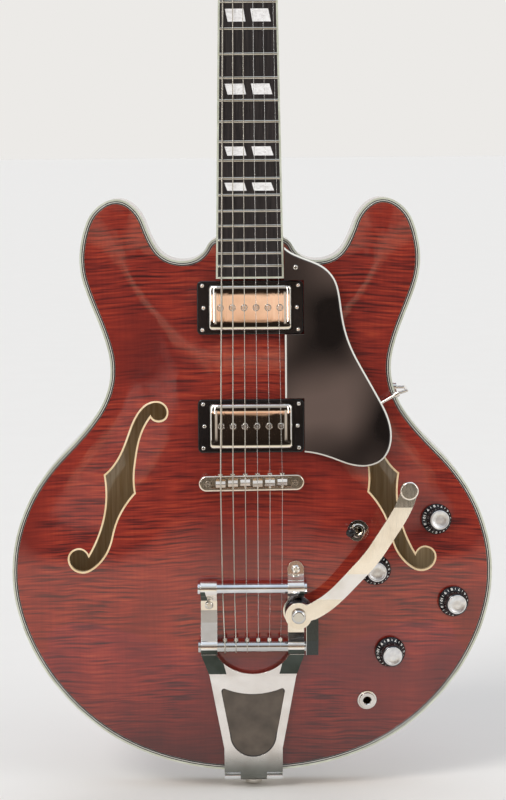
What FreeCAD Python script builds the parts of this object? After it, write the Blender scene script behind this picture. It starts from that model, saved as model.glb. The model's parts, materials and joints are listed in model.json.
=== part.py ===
import FreeCAD, Part

import math
import os
import re

import Sketcher
from FreeCAD import Placement, Rotation, Vector

# Semi-hollow electric guitar with an arched top, two f-holes and a vibrato tailpiece.
# Frame: +Z runs up along the neck, the front faces -Y and the treble side is +X. The origin is
# on the axis of the tail strap button, at the outer edge of its head's straight side.

doc = FreeCAD.newDocument("Guitar")
sheet = doc.addObject("Spreadsheet::Sheet", "Sizes")

sizeGroups = {
    "body": {
        "bodyLength": 491.4,
        "lowerBoutWidth": 410.4,
        "rimDepth": 44.5,
        "rimWall": 6,
        "plateThickness": 5,
        "topArch": 12.5,
        "backArch": 10,
        "archRun": 90,
        "archGrid": 13,
        "blockWidth": 114,
        "bindingWidth": 4.2,
        "bindingDepth": 6.3,
        "holeLength": 147,
        "holeAcross": 112.8,
        "holeUp": 247.5,
        "holeBinding": 1.5,
    },
    "neck": {
        "scaleLength": 628.65,
        "jointPastFret": 4.8,
        "neckAngle": 2.4,
        "nutWidth": 43,
        "boardEndWidth": 57,
        "boardLength": 463,
        "boardThickness": 6,
        "boardRadius": 305,
        "boardBinding": 1.6,
        "boardAboveRim": 18.6,
        "neckDepthAtNut": 15,
        "neckDepthAtBody": 18.5,
        "heelDepth": 37,
        "heelLength": 34,
        "tenonDepth": 30,
        "fretWidth": 2.5,
        "fretHeight": 1.1,
        "inlayDepth": 1.2,
        "nutThickness": 5.5,
        "nutHeight": 8,
        "rodRadius": 2.4,
        "rodDepth": 9,
    },
    "head": {
        "headAngle": 14,
        "headLength": 176,
        "headThickness": 14.5,
        "headWidth": 78,
        "veneerThickness": 1.5,
        "firstPost": 42,
        "postSpacing": 42,
        "postInset": 13,
        "postRadius": 3,
        "postWaistRadius": 2.3,
        "postRise": 17,
        "shaftClearance": 0.05,
        "bushingRadius": 4.8,
        "bushingRise": 2.2,
        "housingLength": 21,
        "housingWidth": 15,
        "housingDepth": 10,
        "wormRadius": 1.9,
        "wormOffset": 7.5,
        "buttonLength": 20,
        "buttonWidth": 13,
        "buttonThickness": 8,
        "buttonRound": 3,
        "buttonClearance": 3.5,
        "coverLength": 46,
        "coverWidth": 20,
        "coverThickness": 1.6,
    },
    "bridge": {
        "bridgeSetback": 5.7,
        "stringSpread": 52,
        "nutSpread": 36,
        "stringOut": 29.5,
        "bridgeLength": 89,
        "bridgeWidth": 13.6,
        "bridgeHeight": 9,
        "bridgeTopOut": 27.2,
        "bridgeSlant": 0.6,
        "troughLength": 68,
        "troughWidth": 8.4,
        "troughDepth": 6.2,
        "studSpacing": 74,
        "studRadius": 2.2,
        "studSeat": 14,
        "wheelRadius": 7,
        "wheelThickness": 3,
        "saddleWidth": 8.2,
        "saddleLength": 6,
        "saddleTravel": 1,
        "saddleClearance": 0.3,
        "saddleScrewRadius": 1.1,
        "saddleHeadRadius": 2.2,
    },
    "pickups": {
        "ringLength": 89.4,
        "ringWidth": 45,
        "ringRound": 4,
        "ringGap": 1.8,
        "coverLong": 69.6,
        "coverWide": 37.7,
        "coverRound": 3,
        "coverWall": 0.8,
        "coverTall": 19,
        "coverBelowStrings": 3,
        "ringBelowCover": 3.4,
        "fitGap": 0.4,
        "bridgePickupOffset": 48,
        "poleRadius": 2.4,
        "poleRise": 0.9,
        "poleGap": 0.3,
        "poleLength": 14,
        "stringTilt": 2.6,
    },
    "controls": {
        "knobRadius": 13,
        "knobNeckRadius": 9.6,
        "knobCapRadius": 8.2,
        "knobHeight": 15,
        "knobSkirt": 2.2,
        "knobLift": 1.2,
        "shaftRadius": 3,
        "shaftLength": 20,
        "potRadius": 12,
        "potDepth": 9,
        "potBushRadius": 4.75,
        "switchWasherRadius": 9,
        "switchNutRadius": 6,
        "leverLength": 19,
        "leverRadius": 1.5,
        "leverTipRadius": 4,
        "leverLean": 22,
        "leverPivotDepth": 2,
        "jackRadius": 8.2,
        "jackBore": 3.2,
        "jackBarrelRadius": 5.6,
        "jackDepth": 26,
        "jackRise": 2.4,
    },
    "guard": {
        "guardThickness": 3,
        "guardBevel": 2.2,
        "guardGap": 0.4,
        "guardOut": 20.5,
        "rodBracketRadius": 1.3,
    },
    "vibrato": {
        "tensionBarUp": 163,
        "tensionBarOut": 24.5,
        "stringBarUp": 112.8,
        "stringBarOut": 22.5,
        "barRadius": 4.6,
        "bossRadius": 6.8,
        "bossInner": 30,
        "bossOuter": 43.8,
        "barCapLength": 2,
        "bearingWall": 1,
        "barSpread": 47,
        "pinRadius": 0.9,
        "pinRise": 3.2,
        "railThickness": 4.5,
        "railFootLength": 22,
        "plateHalfWidth": 36.8,
        "plateTaperedHalfWidth": 25,
        "plateTopUp": 86,
        "plateTaperUp": 21,
        "plateWall": 4,
        "crescentRadius": 36,
        "crescentUp": 124,
        "recessDepth": 1.2,
        "hingePinRadius": 1.5,
        "knuckleRadius": 3.6,
        "hingePlateThickness": 2,
        "hingePlateWidth": 50,
        "hingePlateDepth": 36,
        "springRadius": 9.8,
        "springWire": 1.5,
        "springTurns": 3.5,
        "pivotAcross": 38.8,
        "pivotUp": 141.5,
        "pivotDiscRadius": 11.2,
        "pivotDiscOut": 35,
        "pivotDiscThickness": 2.5,
        "pivotRadius": 3,
        "bracketWidth": 10.4,
        "armWidth": 14,
        "armThickness": 2.6,
        "armRise": 9,
        "armGripRadius": 7,
        "armClearance": 0.3,
        "ballRadius": 2,
    },
    "strings": {
        "sixthString": 0.58,
        "fifthString": 0.46,
        "fourthString": 0.33,
        "thirdString": 0.216,
        "secondString": 0.165,
        "firstString": 0.13,
    },
    "strap": {
        "buttonHeight": 12,
        "buttonHeadRadius": 7.2,
        "buttonHeadLength": 3,
        "buttonCrown": 0.6,
        "upperButtonInset": 22,
        "buttonWaistRadius": 4.6,
        "buttonBaseRadius": 6.2,
        "feltThickness": 1,
    },
    "general": {
        "screwHeadRadius": 2.6,
        "screwHeadHeight": 1.4,
        "screwShankRadius": 1.2,
        "screwLength": 9,
        "overrun": 1,
        "closeFit": 0.05,
        "sliver": 0.02,
    },
}
row = 0
for title, entries in sizeGroups.items():
    row += 1
    sheet.set(f"A{row}", title)
    for alias, number in entries.items():
        row += 1
        sheet.set(f"A{row}", alias)
        sheet.set(f"B{row}", str(number))
        sheet.setAlias(f"B{row}", alias)
doc.recompute()


class Values:
    pass


s = Values()
for entries in sizeGroups.values():
    for alias in entries:
        setattr(s, alias, float(sheet.get(alias)))

fretCount = 22
jointFret = 19
stringRadii = [s.sixthString, s.fifthString, s.fourthString, s.thirdString, s.secondString,
               s.firstString]

# Half outline of the body, from the butt's middle over the bouts to the neck joint, as shares
# of half the lower bout's width and of the body's length.
outlineShares = [
    (0, 0), (0.31, 0.0145), (0.552, 0.054), (0.77, 0.127), (0.93, 0.2275), (0.998, 0.34),
    (0.968, 0.434), (0.85, 0.528), (0.7, 0.597), (0.6, 0.661), (0.579, 0.707), (0.606, 0.765),
    (0.662, 0.826), (0.7, 0.885), (0.69, 0.934), (0.635, 0.983), (0.54, 1.0), (0.462, 0.981),
    (0.408, 0.934), (0.352, 0.9025), (0.275, 0.8935), (0.2, 0.905), (0.147, 0.9305),
    (0.1325, 0.9445),
]
# One f-hole as four smooth runs between its corners, as shares of its length from its middle.
# The second value runs along the body and the first toward the rim.
holeRunShares = [
    [(-0.188, 0.402), (-0.137, 0.31), (-0.102, 0.159), (-0.092, 0.055), (-0.1, -0.033)],
    [(-0.1, -0.033), (-0.04, -0.108), (0.015, -0.218), (0.054, -0.352), (0.127, -0.457),
     (0.22, -0.5), (0.288, -0.462), (0.295, -0.39), (0.245, -0.353), (0.178, -0.389)],
    [(0.178, -0.389), (0.119, -0.265), (0.08, -0.101), (0.078, 0.0), (0.087, 0.073)],
    [(0.087, 0.073), (0.028, 0.134), (-0.037, 0.259), (-0.101, 0.414), (-0.188, 0.495),
     (-0.262, 0.49), (-0.292, 0.44), (-0.275, 0.393), (-0.23, 0.378), (-0.188, 0.402)],
]


def bound(text):
    return re.sub(r"([a-z][A-Za-z]+)", r"Sizes.\1", text)


def measured(text):
    return float(sheet.evalExpression(text))


def originPlane(body, role):
    return [item for item in body.Origin.OriginFeatures if item.Role == role][0]


def newBody(label):
    body = doc.addObject("PartDesign::Body", label)
    body.Label = label
    return body


def newSketch(body, role):
    sketch = body.newObject("Sketcher::SketchObject", "Profile")
    sketch.AttachmentSupport = (originPlane(body, role), [""])
    sketch.MapMode = "FlatFace"
    return sketch


# A closed outline of straight edges whose corners are bound to the sheet one by one.
def drawCorners(sketch, corners):
    first = sketch.GeometryCount
    count = len(corners)
    places = [Vector(measured(across), measured(along), 0) for across, along in corners]
    for index in range(count):
        sketch.addGeometry(Part.LineSegment(places[index], places[(index + 1) % count]), False)
    for index in range(count):
        following = first + (index + 1) % count
        sketch.addConstraint(Sketcher.Constraint("Coincident", first + index, 2, following, 1))
    for index, corner in enumerate(corners):
        for kind, text, axis, number in (
            ("DistanceX", corner[0], -2, places[index].x),
            ("DistanceY", corner[1], -1, places[index].y),
        ):
            if text == "0":
                sketch.addConstraint(Sketcher.Constraint("PointOnObject", first + index, 1, axis))
                continue
            rule = Sketcher.Constraint(kind, -1, 1, first + index, 1, number)
            name = f"{kind}{first + index}"
            sketch.renameConstraint(sketch.addConstraint(rule), name)
            sketch.setExpression(f"Constraints.{name}", bound(text))


def drawCircle(sketch, radius, across="0", along="0"):
    centre = Vector(measured(across), measured(along), 0)
    index = sketch.addGeometry(Part.Circle(centre, Vector(0, 0, 1), measured(radius)), False)
    rules = [("Radius", radius)]
    if across == "0" and along == "0":
        sketch.addConstraint(Sketcher.Constraint("Coincident", index, 3, -1, 1))
    else:
        rules += [("DistanceX", across), ("DistanceY", along)]
    for kind, text in rules:
        if kind == "Radius":
            rule = Sketcher.Constraint(kind, index, measured(text))
        else:
            rule = Sketcher.Constraint(kind, -1, 1, index, 3, measured(text))
        name = f"{kind}{index}"
        sketch.renameConstraint(sketch.addConstraint(rule), name)
        sketch.setExpression(f"Constraints.{name}", bound(text))


# A turned piece: its half section lies in local X and Z and turns about local Z.
def turned(label, corners):
    body = newBody(label)
    sketch = newSketch(body, "XZ_Plane")
    drawCorners(sketch, corners)
    feature = body.newObject("PartDesign::Revolution", "Turned")
    feature.Profile = sketch
    feature.ReferenceAxis = (sketch, ["V_Axis"])
    feature.Angle = 360
    return body


def padded(label, corners, length, role="XY_Plane", middle=False):
    body = newBody(label)
    sketch = newSketch(body, role)
    drawCorners(sketch, corners)
    feature = body.newObject("PartDesign::Pad", "Pad")
    feature.Profile = sketch
    feature.Midplane = middle
    feature.setExpression("Length", bound(length))
    return body


def rounded(body, radius, chosen):
    doc.recompute()
    base = body.Tip
    names = [f"Edge{n + 1}" for n, edge in enumerate(base.Shape.Edges) if chosen(edge)]
    feature = body.newObject("PartDesign::Fillet", "Rounded")
    feature.Base = (base, names)
    feature.setExpression("Radius", bound(radius))
    return body


def feature(label, shape):
    item = doc.addObject("Part::Feature", label)
    item.Label = label
    item.Shape = shape
    return item


def group(label, shapes):
    return feature(label, Part.Compound(shapes))


subParts = []


def keep(item, placement=None):
    if placement is not None:
        item.Placement = placement
    subParts.append(item)
    return item


# Places on the body: up is the height above the butt, out the height in front of the rim.
buttZ = s.buttonHeight + s.feltThickness + s.hingePlateThickness
frontY = -s.rimDepth / 2
backY = s.rimDepth / 2
halfBout = s.lowerBoutWidth / 2


def at(across, up, out=0):
    return Vector(across, frontY - out, buttZ + up)


outward = Vector(0, -1, 0)
inward = Vector(0, 1, 0)
upward = Vector(0, 0, 1)
sideward = Vector(1, 0, 0)


def facing(point, direction=outward):
    return Placement(point, Rotation(Vector(0, 0, 1), direction))


# The point that an arc from start to end passes halfway, when it leaves start along heading.
def arcMiddle(start, heading, end):
    chord = end - start
    along = chord / chord.Length
    lean = heading.dot(along)
    side = (heading - along * lean) / (1 + lean)
    return (start + end) / 2 + side * (chord.Length / 2)


# Two arcs that join two points with given headings.
def arcPair(start, heading, end, endHeading):
    chord = end - start
    both = heading + endHeading
    spread = 2 * (1 - heading.dot(endHeading))
    if spread < 1e-9:
        reach = chord.dot(chord) / (2 * chord.dot(both))
    else:
        along = chord.dot(both)
        reach = (math.sqrt(along * along + spread * chord.dot(chord)) - along) / spread
    joint = (start + end + (heading - endHeading) * reach) / 2
    first = arcMiddle(start, heading, joint)
    second = arcMiddle(end, endHeading * -1, joint)
    return [(start, first, joint), (joint, second, end)]


# The headings at the points of one smooth curve through them.
def smoothHeadings(points, startHeading=None, endHeading=None):
    curve = Part.BSplineCurve()
    if startHeading is None:
        curve.interpolate(Points=points)
    else:
        curve.interpolate(Points=points, InitialTangent=startHeading, FinalTangent=endHeading)
    return [curve.tangent(curve.parameter(point))[0] for point in points]


# A smooth run of arcs through the points.
def arcRun(points, startHeading=None, endHeading=None):
    headings = smoothHeadings(points, startHeading, endHeading)
    arcs = []
    for index in range(len(points) - 1):
        arcs += arcPair(points[index], headings[index], points[index + 1], headings[index + 1])
    return arcs


def flipped(point):
    return Vector(-point.x, point.y, 0)


def mirroredArcs(arcs):
    return [tuple(flipped(point) for point in reversed(arc)) for arc in reversed(arcs)]


# The same arcs moved sideways by a distance, to the left of their heading.
def offsetArcs(arcs, distance):
    moved = []
    for start, middle, end in arcs:
        circle = Part.Arc(start, middle, end).toShape().Curve
        centre = circle.Center
        turnsLeft = (middle - start).cross(end - middle).z > 0
        change = -distance if turnsLeft else distance
        share = (circle.Radius + change) / circle.Radius
        moved.append(tuple(centre + (point - centre) * share for point in (start, middle, end)))
    return moved


# A wire of arcs and straight runs in the plane (across, up), laid on the front rim plane.
def laidWire(runs):
    edges = []
    for run in runs:
        places = [at(point.x, point.y) for point in run]
        if len(places) == 3:
            edges.append(Part.Arc(*places).toShape())
        elif (places[1] - places[0]).Length > s.sliver:
            edges.append(Part.LineSegment(*places).toShape())
    return Part.Wire(edges)


def prism(wire, outFrom, outTo):
    face = Part.Face(wire)
    face.translate(outward * outFrom)
    return face.extrude(outward * (outTo - outFrom))


def boxAt(across, up, out, acrossSize, upSize, outSize):
    corner = at(across - acrossSize / 2, up - upSize / 2, out + outSize)
    return Part.makeBox(acrossSize, outSize, upSize, corner)


def rod(start, end, radius):
    return Part.makeCylinder(radius, (end - start).Length, start, end - start)


def fused(shapes):
    whole = shapes[0].multiFuse(shapes[1:])
    return whole.removeSplitter()


# The body's outline, its arch and the clear distance to the rim.
halfPoints = [Vector(across * halfBout, along * s.bodyLength, 0) for across, along in outlineShares]
halfArcs = arcRun(halfPoints, Vector(1, 0, 0), Vector(-0.2, 1, 0))
jointUp = halfPoints[-1].y
jointHalf = halfPoints[-1].x


def bodyWire(inset=0):
    right = offsetArcs(halfArcs, inset)
    left = mirroredArcs(right)
    closing = [(right[-1][2], left[0][0])]
    return laidWire(right + closing + left)


def outlineSamples():
    closing = Part.makeLine(halfPoints[-1], Vector(-jointHalf, jointUp, 0))
    edges = [Part.Arc(*arc).toShape() for arc in halfArcs] + [closing]
    edges += [Part.Arc(*arc).toShape() for arc in mirroredArcs(halfArcs)]
    found = []
    for edge in edges:
        count = max(2, int(2 * edge.Length / s.archGrid) + 1)
        places = edge.discretize(count + 1)
        for start, end in zip(places, places[1:]):
            middle = (start + end) / 2
            found.append((middle.x, middle.y, (end - start).Length))
    return found


samples = outlineSamples()
outlineLoop = [(x, y) for x, y, length in samples]


def insideOutline(across, up):
    inside = False
    previous = outlineLoop[-1]
    for point in outlineLoop:
        if (point[1] > up) != (previous[1] > up):
            slope = (previous[0] - point[0]) / (previous[1] - point[1])
            if across < point[0] + (up - point[1]) * slope:
                inside = not inside
        previous = point
    return inside


# A smooth distance to the rim: exact beside a straight rim, and rounded inside a corner.
def rimDistance(across, up):
    if not insideOutline(across, up):
        return 0
    total = 0
    for x, y, length in samples:
        square = (x - across) ** 2 + (y - up) ** 2
        total += length / (square * math.sqrt(square) + s.sliver)
    return math.sqrt(2 / total)


# The arch rises from the rim with no slope, and runs level again at its full height.
def archShare(across, up):
    reach = min(1, rimDistance(across, up) / s.archRun)
    return reach * reach * (3 - 2 * reach)


def topOut(across, up):
    return s.topArch * archShare(across, up)


def archNormal(across, up, height, way):
    step = s.archGrid / 4
    slopeAcross = height * (archShare(across + step, up) - archShare(across - step, up)) / (2 * step)
    slopeUp = height * (archShare(across, up + step) - archShare(across, up - step)) / (2 * step)
    return Vector(-slopeAcross, way, -slopeUp).normalize()


gridAcross = int(halfBout / s.archGrid) + 2
gridUp = int(s.bodyLength / s.archGrid) + 3
gridShares = {}
for column in range(gridAcross + 1):
    for line in range(-1, gridUp):
        gridShares[(column, line)] = archShare(column * s.archGrid, line * s.archGrid)


def archFace(height, planeY, sign):
    columns = []
    for column in range(-gridAcross, gridAcross + 1):
        line = []
        for step in range(-1, gridUp):
            rise = height * gridShares[(abs(column), step)]
            place = at(column * s.archGrid, step * s.archGrid)
            line.append(Vector(place.x, planeY + sign * rise, place.z))
        columns.append(line)
    surface = Part.BSplineSurface()
    surface.interpolate(columns)
    return surface.toShape()


topFace = archFace(s.topArch, frontY, -1)
backFace = archFace(s.backArch, backY, 1)
throughAll = s.rimDepth + s.topArch + s.backArch + s.overrun
outerBody = prism(bodyWire(), s.topArch + s.overrun, -throughAll)
insetBody = prism(bodyWire(s.bindingWidth), s.topArch + s.overrun, -throughAll)
innerBody = prism(bodyWire(s.rimWall), s.topArch + s.overrun, -throughAll)


# The same arched surface, cut down to a stretch of the top.
def topPatch(acrossFrom, acrossTo, upFrom, upTo):
    surface = topFace.Surface.copy()
    firstU, firstV = surface.parameter(at(acrossFrom, upFrom))
    lastU, lastV = surface.parameter(at(acrossTo, upTo))
    surface.segment(firstU, lastU, firstV, lastV)
    return surface.toShape()


def spaceAboveTop(acrossFrom, acrossTo, upFrom, upTo):
    return topPatch(acrossFrom, acrossTo, upFrom, upTo).extrude(outward * s.rimDepth)


# Stations of the neck: its own frame has X across, -Y out of the board and Z up the board.
def fretAt(number):
    return -s.scaleLength * (1 - 2 ** (-number / 12))


neckTurn = math.radians(s.neckAngle)
nutUp = jointUp + (s.jointPastFret - fretAt(jointFret)) * math.cos(neckTurn)
endOut = s.boardAboveRim
nutOut = endOut - s.boardLength * math.sin(neckTurn)
neckPlace = Placement(at(0, nutUp, nutOut), Rotation(Vector(1, 0, 0), -s.neckAngle))
headPlace = neckPlace.multiply(
    Placement(Vector(0, s.boardThickness, 0), Rotation(Vector(1, 0, 0), -s.headAngle)))
boardEndUp = nutUp - s.boardLength * math.cos(neckTurn)
bridgeUp = nutUp - s.scaleLength - s.bridgeSetback


def boardHalf(along):
    return (s.nutWidth + (s.boardEndWidth - s.nutWidth) * -along / s.boardLength) / 2


def crownDrop(across):
    return s.boardRadius - math.sqrt(s.boardRadius ** 2 - across ** 2)


# A block of the board's plan, drawn in by an inset, from a front level to a back level.
def boardPrism(start, end, inset, front, back):
    corners = [Vector(-boardHalf(start) + inset, front, start), Vector(boardHalf(start) - inset, front, start),
               Vector(boardHalf(end) - inset, front, end), Vector(-boardHalf(end) + inset, front, end)]
    face = Part.Face(Part.makePolygon(corners + corners[:1]))
    return face.extrude(Vector(0, back - front, 0))


boardCrown = Part.makeCylinder(s.boardRadius, s.boardLength + 2 * s.overrun,
                               Vector(0, s.boardRadius, -s.boardLength - s.overrun))


def crownedBoard(start, end, inset):
    return boardPrism(start, end, inset, 0, s.boardThickness).common(boardCrown)


def inNeck(shape):
    moved = shape.copy()
    moved.Placement = neckPlace.multiply(moved.Placement)
    return moved


def inHead(shape):
    moved = shape.copy()
    moved.Placement = headPlace.multiply(moved.Placement)
    return moved


# Body: the two arched plates, the bent rim, the block and the bindings.
def cornerShift(before, after):
    first = Vector(-before.y, before.x, 0)
    second = Vector(-after.y, after.x, 0)
    return (first + second) / (1 + first.dot(second))


def holeWire(side, inset=0):
    middle = Vector(side * s.holeAcross, s.holeUp, 0)
    runs = []
    for shares in holeRunShares:
        runs.append([middle + Vector(side * across, along, 0) * s.holeLength
                     for across, along in shares])
    headings = [smoothHeadings(points) for points in runs]
    arcs = []
    for index, points in enumerate(runs):
        before = [headings[index - 1][-1]] + headings[index][1:]
        after = headings[index][:-1] + [headings[(index + 1) % len(runs)][0]]
        moved = []
        for point, first, second in zip(points, before, after):
            moved.append(point + cornerShift(first, second) * inset * side)
        arcs += arcRun(moved)
    return laidWire(arcs)


neckTenon = inNeck(boardPrism(-s.boardLength + s.bindingWidth, fretAt(jointFret), 0,
                              s.boardThickness, s.boardThickness + s.tenonDepth))
fingerboardSpace = inNeck(boardPrism(-s.boardLength, 0, -s.closeFit, -s.overrun, s.boardThickness))


def pickupUp(which):
    if which == "neck":
        return boardEndUp - s.ringGap - s.ringWidth / 2
    return bridgeUp + s.bridgePickupOffset


def stringOutAt(up):
    return s.stringOut - (up - bridgeUp) * math.tan(math.radians(s.stringTilt))


def pickupPlace(which):
    up = pickupUp(which)
    turn = Rotation(Vector(1, 0, 0), 90 - s.stringTilt)
    return Placement(at(0, up, stringOutAt(up) - s.coverBelowStrings), turn)


def pickupWell(which):
    long = s.coverLong + 2 * s.fitGap
    wide = s.coverWide + 2 * s.fitGap + 2 * s.coverTall * math.tan(math.radians(s.stringTilt))
    return boxAt(0, pickupUp(which), -s.coverTall, long, wide, 2 * s.coverTall)


controlShares = {
    "knob_1": (0.7632, 0.4444),
    "knob_2": (0.5097, 0.3594),
    "knob_3": (0.8343, 0.3),
    "knob_4": (0.5697, 0.2141),
    "toggle": (0.4381, 0.4273),
    "jack": (0.4751, 0.1266),
}


def controlSpot(name):
    across = controlShares[name][0] * halfBout
    up = controlShares[name][1] * s.bodyLength
    return across, up


def onTop(name, lift=0):
    across, up = controlSpot(name)
    normal = archNormal(across, up, s.topArch, -1)
    return facing(at(across, up, topOut(across, up)) + normal * lift, normal)


def topHole(name, radius):
    place = onTop(name)
    hole = Part.makeCylinder(radius, 4 * s.plateThickness, Vector(0, 0, -2 * s.plateThickness))
    hole.Placement = place
    return hole


# Bridge place: its own frame has X along the bridge, -Y out of the top and Z up the body.
bridgeTurn = Rotation(Vector(0, 1, 0), -s.bridgeSlant)
bridgePlace = Placement(at(0, bridgeUp, s.bridgeTopOut), bridgeTurn)
studBottom = s.topArch - s.studSeat
studHoles = []
studSpots = []
for side in (-1, 1):
    spot = bridgePlace.multVec(Vector(side * s.studSpacing / 2, 0, 0))
    studSpots.append((spot.x, spot.z - buttZ))
    studHoles.append(rod(at(*studSpots[-1], studBottom), at(*studSpots[-1], s.stringOut), s.studRadius))

# Screw seats: a place whose Z points out of the wood, a head radius and a length. The pieces
# that a screw enters are bored from the same seats.
ringTop = -s.ringBelowCover
ringLedge = (s.ringLength - s.coverLong) / 4
railOut = s.topArch + s.railThickness
railMiddle = (s.bossInner + s.bossOuter) / 2
railWidth = s.bossOuter - s.bossInner
footEnd = s.tensionBarUp + s.railFootLength
leftFootUp = s.tensionBarUp - 2.25 * s.bossRadius
hingeAcrossShares = (-0.36, 0.36)
hingeDepthShares = (0.38, 0.8)
guardScrewShares = (0.186, 0.8835)
coverScrewShares = (0.12, 0.9)


def ringSeats(which):
    seats = []
    for side in (-1, 1):
        for line in (-1, 0, 1):
            x = side * (s.ringLength / 2 - ringLedge * (1.1 if line == 0 else 0.9))
            y = line * (s.ringWidth / 2 - ringLedge * 0.8)
            place = pickupPlace(which).multiply(Placement(Vector(x, y, ringTop), Rotation()))
            seats.append((place, s.screwHeadRadius * 0.75, s.screwLength))
    return seats


railSeats = []
for across, up in ((-railMiddle, leftFootUp), (railMiddle, footEnd - railWidth / 2)):
    railSeats.append((facing(at(across, up, railOut)), s.screwHeadRadius * 1.4, s.screwLength * 1.5))
hingeSeats = []
for acrossShare in hingeAcrossShares:
    for depthShare in hingeDepthShares:
        seat = Vector(acrossShare * s.hingePlateWidth, frontY + depthShare * s.rimDepth,
                      buttZ - s.hingePlateThickness)
        hingeSeats.append((facing(seat, upward * -1), s.screwHeadRadius, s.screwLength))
guardScrewSpot = (guardScrewShares[0] * halfBout, guardScrewShares[1] * s.bodyLength)
guardLength = s.guardOut + s.screwLength / 2
guardSeat = (facing(at(*guardScrewSpot, s.guardOut)), s.screwHeadRadius * 0.9, guardLength)
coverSeats = []
for share in coverScrewShares:
    seat = Vector(0, -s.veneerThickness - s.coverThickness, s.nutThickness + s.overrun + s.coverLength * share)
    coverSeats.append((headPlace.multiply(facing(seat)), s.screwHeadRadius * 0.6, s.screwLength * 0.8))


def screwBore(seat):
    place, headRadius, length = seat
    shank = Part.makeCylinder(s.screwShankRadius, length + s.overrun, Vector(0, 0, -length))
    shank.Placement = place
    return shank


ringBores = [screwBore(seat) for seat in ringSeats("neck") + ringSeats("bridge")]
railBores = [screwBore(seat) for seat in railSeats]
hingeBores = [screwBore(seat) for seat in hingeSeats]
coverBores = [screwBore(seat) for seat in coverSeats]
guardBore = screwBore(guardSeat)
strapShankRadius = s.screwShankRadius * 1.6
strapLength = 2 * s.screwLength
strapShank = rod(Vector(0, 0, s.buttonHeight), Vector(0, 0, s.buttonHeight + strapLength), strapShankRadius)
jointAlong = fretAt(jointFret) - s.jointPastFret
upperUp = jointUp - s.upperButtonInset
upperSeat = Vector(0, backY + s.backArch * archShare(0, upperUp), buttZ + upperUp)
upperNormal = archNormal(0, upperUp, s.backArch, 1)
upperLift = s.buttonHeight + s.feltThickness + 4 * s.closeFit
upperPlace = facing(upperSeat + upperNormal * upperLift, upperNormal * -1)
upperShank = strapShank.copy()
upperShank.Placement = upperPlace

knobNames = ["knob_1", "knob_2", "knob_3", "knob_4"]
topCuts = [prism(holeWire(side), s.topArch + s.overrun, -s.rimDepth / 2) for side in (-1, 1)]
topCuts += [neckTenon, pickupWell("neck"), pickupWell("bridge")]
topCuts += [topHole(name, s.potBushRadius + s.closeFit) for name in knobNames]
topCuts.append(topHole("toggle", s.switchNutRadius))
topCuts.append(topHole("jack", s.jackBarrelRadius + s.closeFit))
topCuts += studHoles + ringBores + railBores + [guardBore]


def plate(face, direction, cutters):
    slab = face.extrude(direction * s.plateThickness).common(insetBody)
    return slab.cut(cutters) if cutters else slab


bodyTop = plate(topFace, inward, topCuts)
bodyBack = plate(backFace, outward, [upperShank])
keep(feature("body_top", bodyTop))
keep(feature("body_back", bodyBack))

bindingRing = prism(bodyWire(), 0, -s.bindingDepth).cut(insetBody)
neckGate = boxAt(0, jointUp, -s.rimDepth, 2 * jointHalf, 2 * s.bindingWidth, 2 * s.rimDepth)
frontBinding = bindingRing.cut([neckGate, neckTenon])
backBinding = frontBinding.copy()
backBinding.Placement = Placement(Vector(0, 0, 0), Rotation(Vector(0, 0, 1), 180))
keep(group("body_binding", [frontBinding, backBinding]))

rimRing = prism(bodyWire(), -s.plateThickness, s.plateThickness - s.rimDepth).cut(innerBody)
buttBores = hingeBores + [strapShank]
keep(feature("body_rim", rimRing.cut([frontBinding, backBinding, neckTenon] + buttBores)))

# The inner space between the two plates carries the centre block.
underTop = topFace.copy()
underTop.translate(inward * s.plateThickness)
overBack = backFace.copy()
overBack.translate(outward * s.plateThickness)
innerSpace = underTop.extrude(inward * throughAll).common(overBack.extrude(outward * throughAll))
blockLength = jointUp - 2 * s.rimWall
blockBox = boxAt(0, s.rimWall + blockLength / 2, -throughAll, s.blockWidth, blockLength, 2 * throughAll)
block = blockBox.common(innerBody).common(innerSpace)
blockCuts = [neckTenon, pickupWell("neck"), pickupWell("bridge"), upperShank, guardBore]
blockCuts += studHoles + ringBores + railBores
keep(feature("centre_block", block.cut(blockCuts + buttBores)))

liners = []
for side in (-1, 1):
    ring = prism(holeWire(side), s.topArch + s.overrun, -s.rimDepth / 2)
    core = prism(holeWire(side, s.holeBinding), s.topArch + s.overrun, -s.rimDepth / 2)
    reach = s.holeLength * 0.6
    patch = topPatch(side * s.holeAcross - reach, side * s.holeAcross + reach, s.holeUp - reach,
                     s.holeUp + reach)
    liners.append(patch.extrude(inward * s.plateThickness).common(ring.cut(core)))
keep(group("f_hole_binding", liners))


# Neck: sections with straight flanks over a round back, swelling to the heel at the body.
def neckSection(along, depth, flankShare):
    half = boardHalf(along)
    top = s.boardThickness
    flank = depth * flankShare
    sides = [
        Part.LineSegment(Vector(-half, top, along), Vector(half, top, along)).toShape(),
        Part.LineSegment(Vector(half, top, along), Vector(half, top + flank, along)).toShape(),
        Part.Arc(Vector(half, top + flank, along), Vector(0, top + depth, along),
                 Vector(-half, top + flank, along)).toShape(),
        Part.LineSegment(Vector(-half, top + flank, along), Vector(-half, top, along)).toShape(),
    ]
    return Part.Wire(sides)


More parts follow.
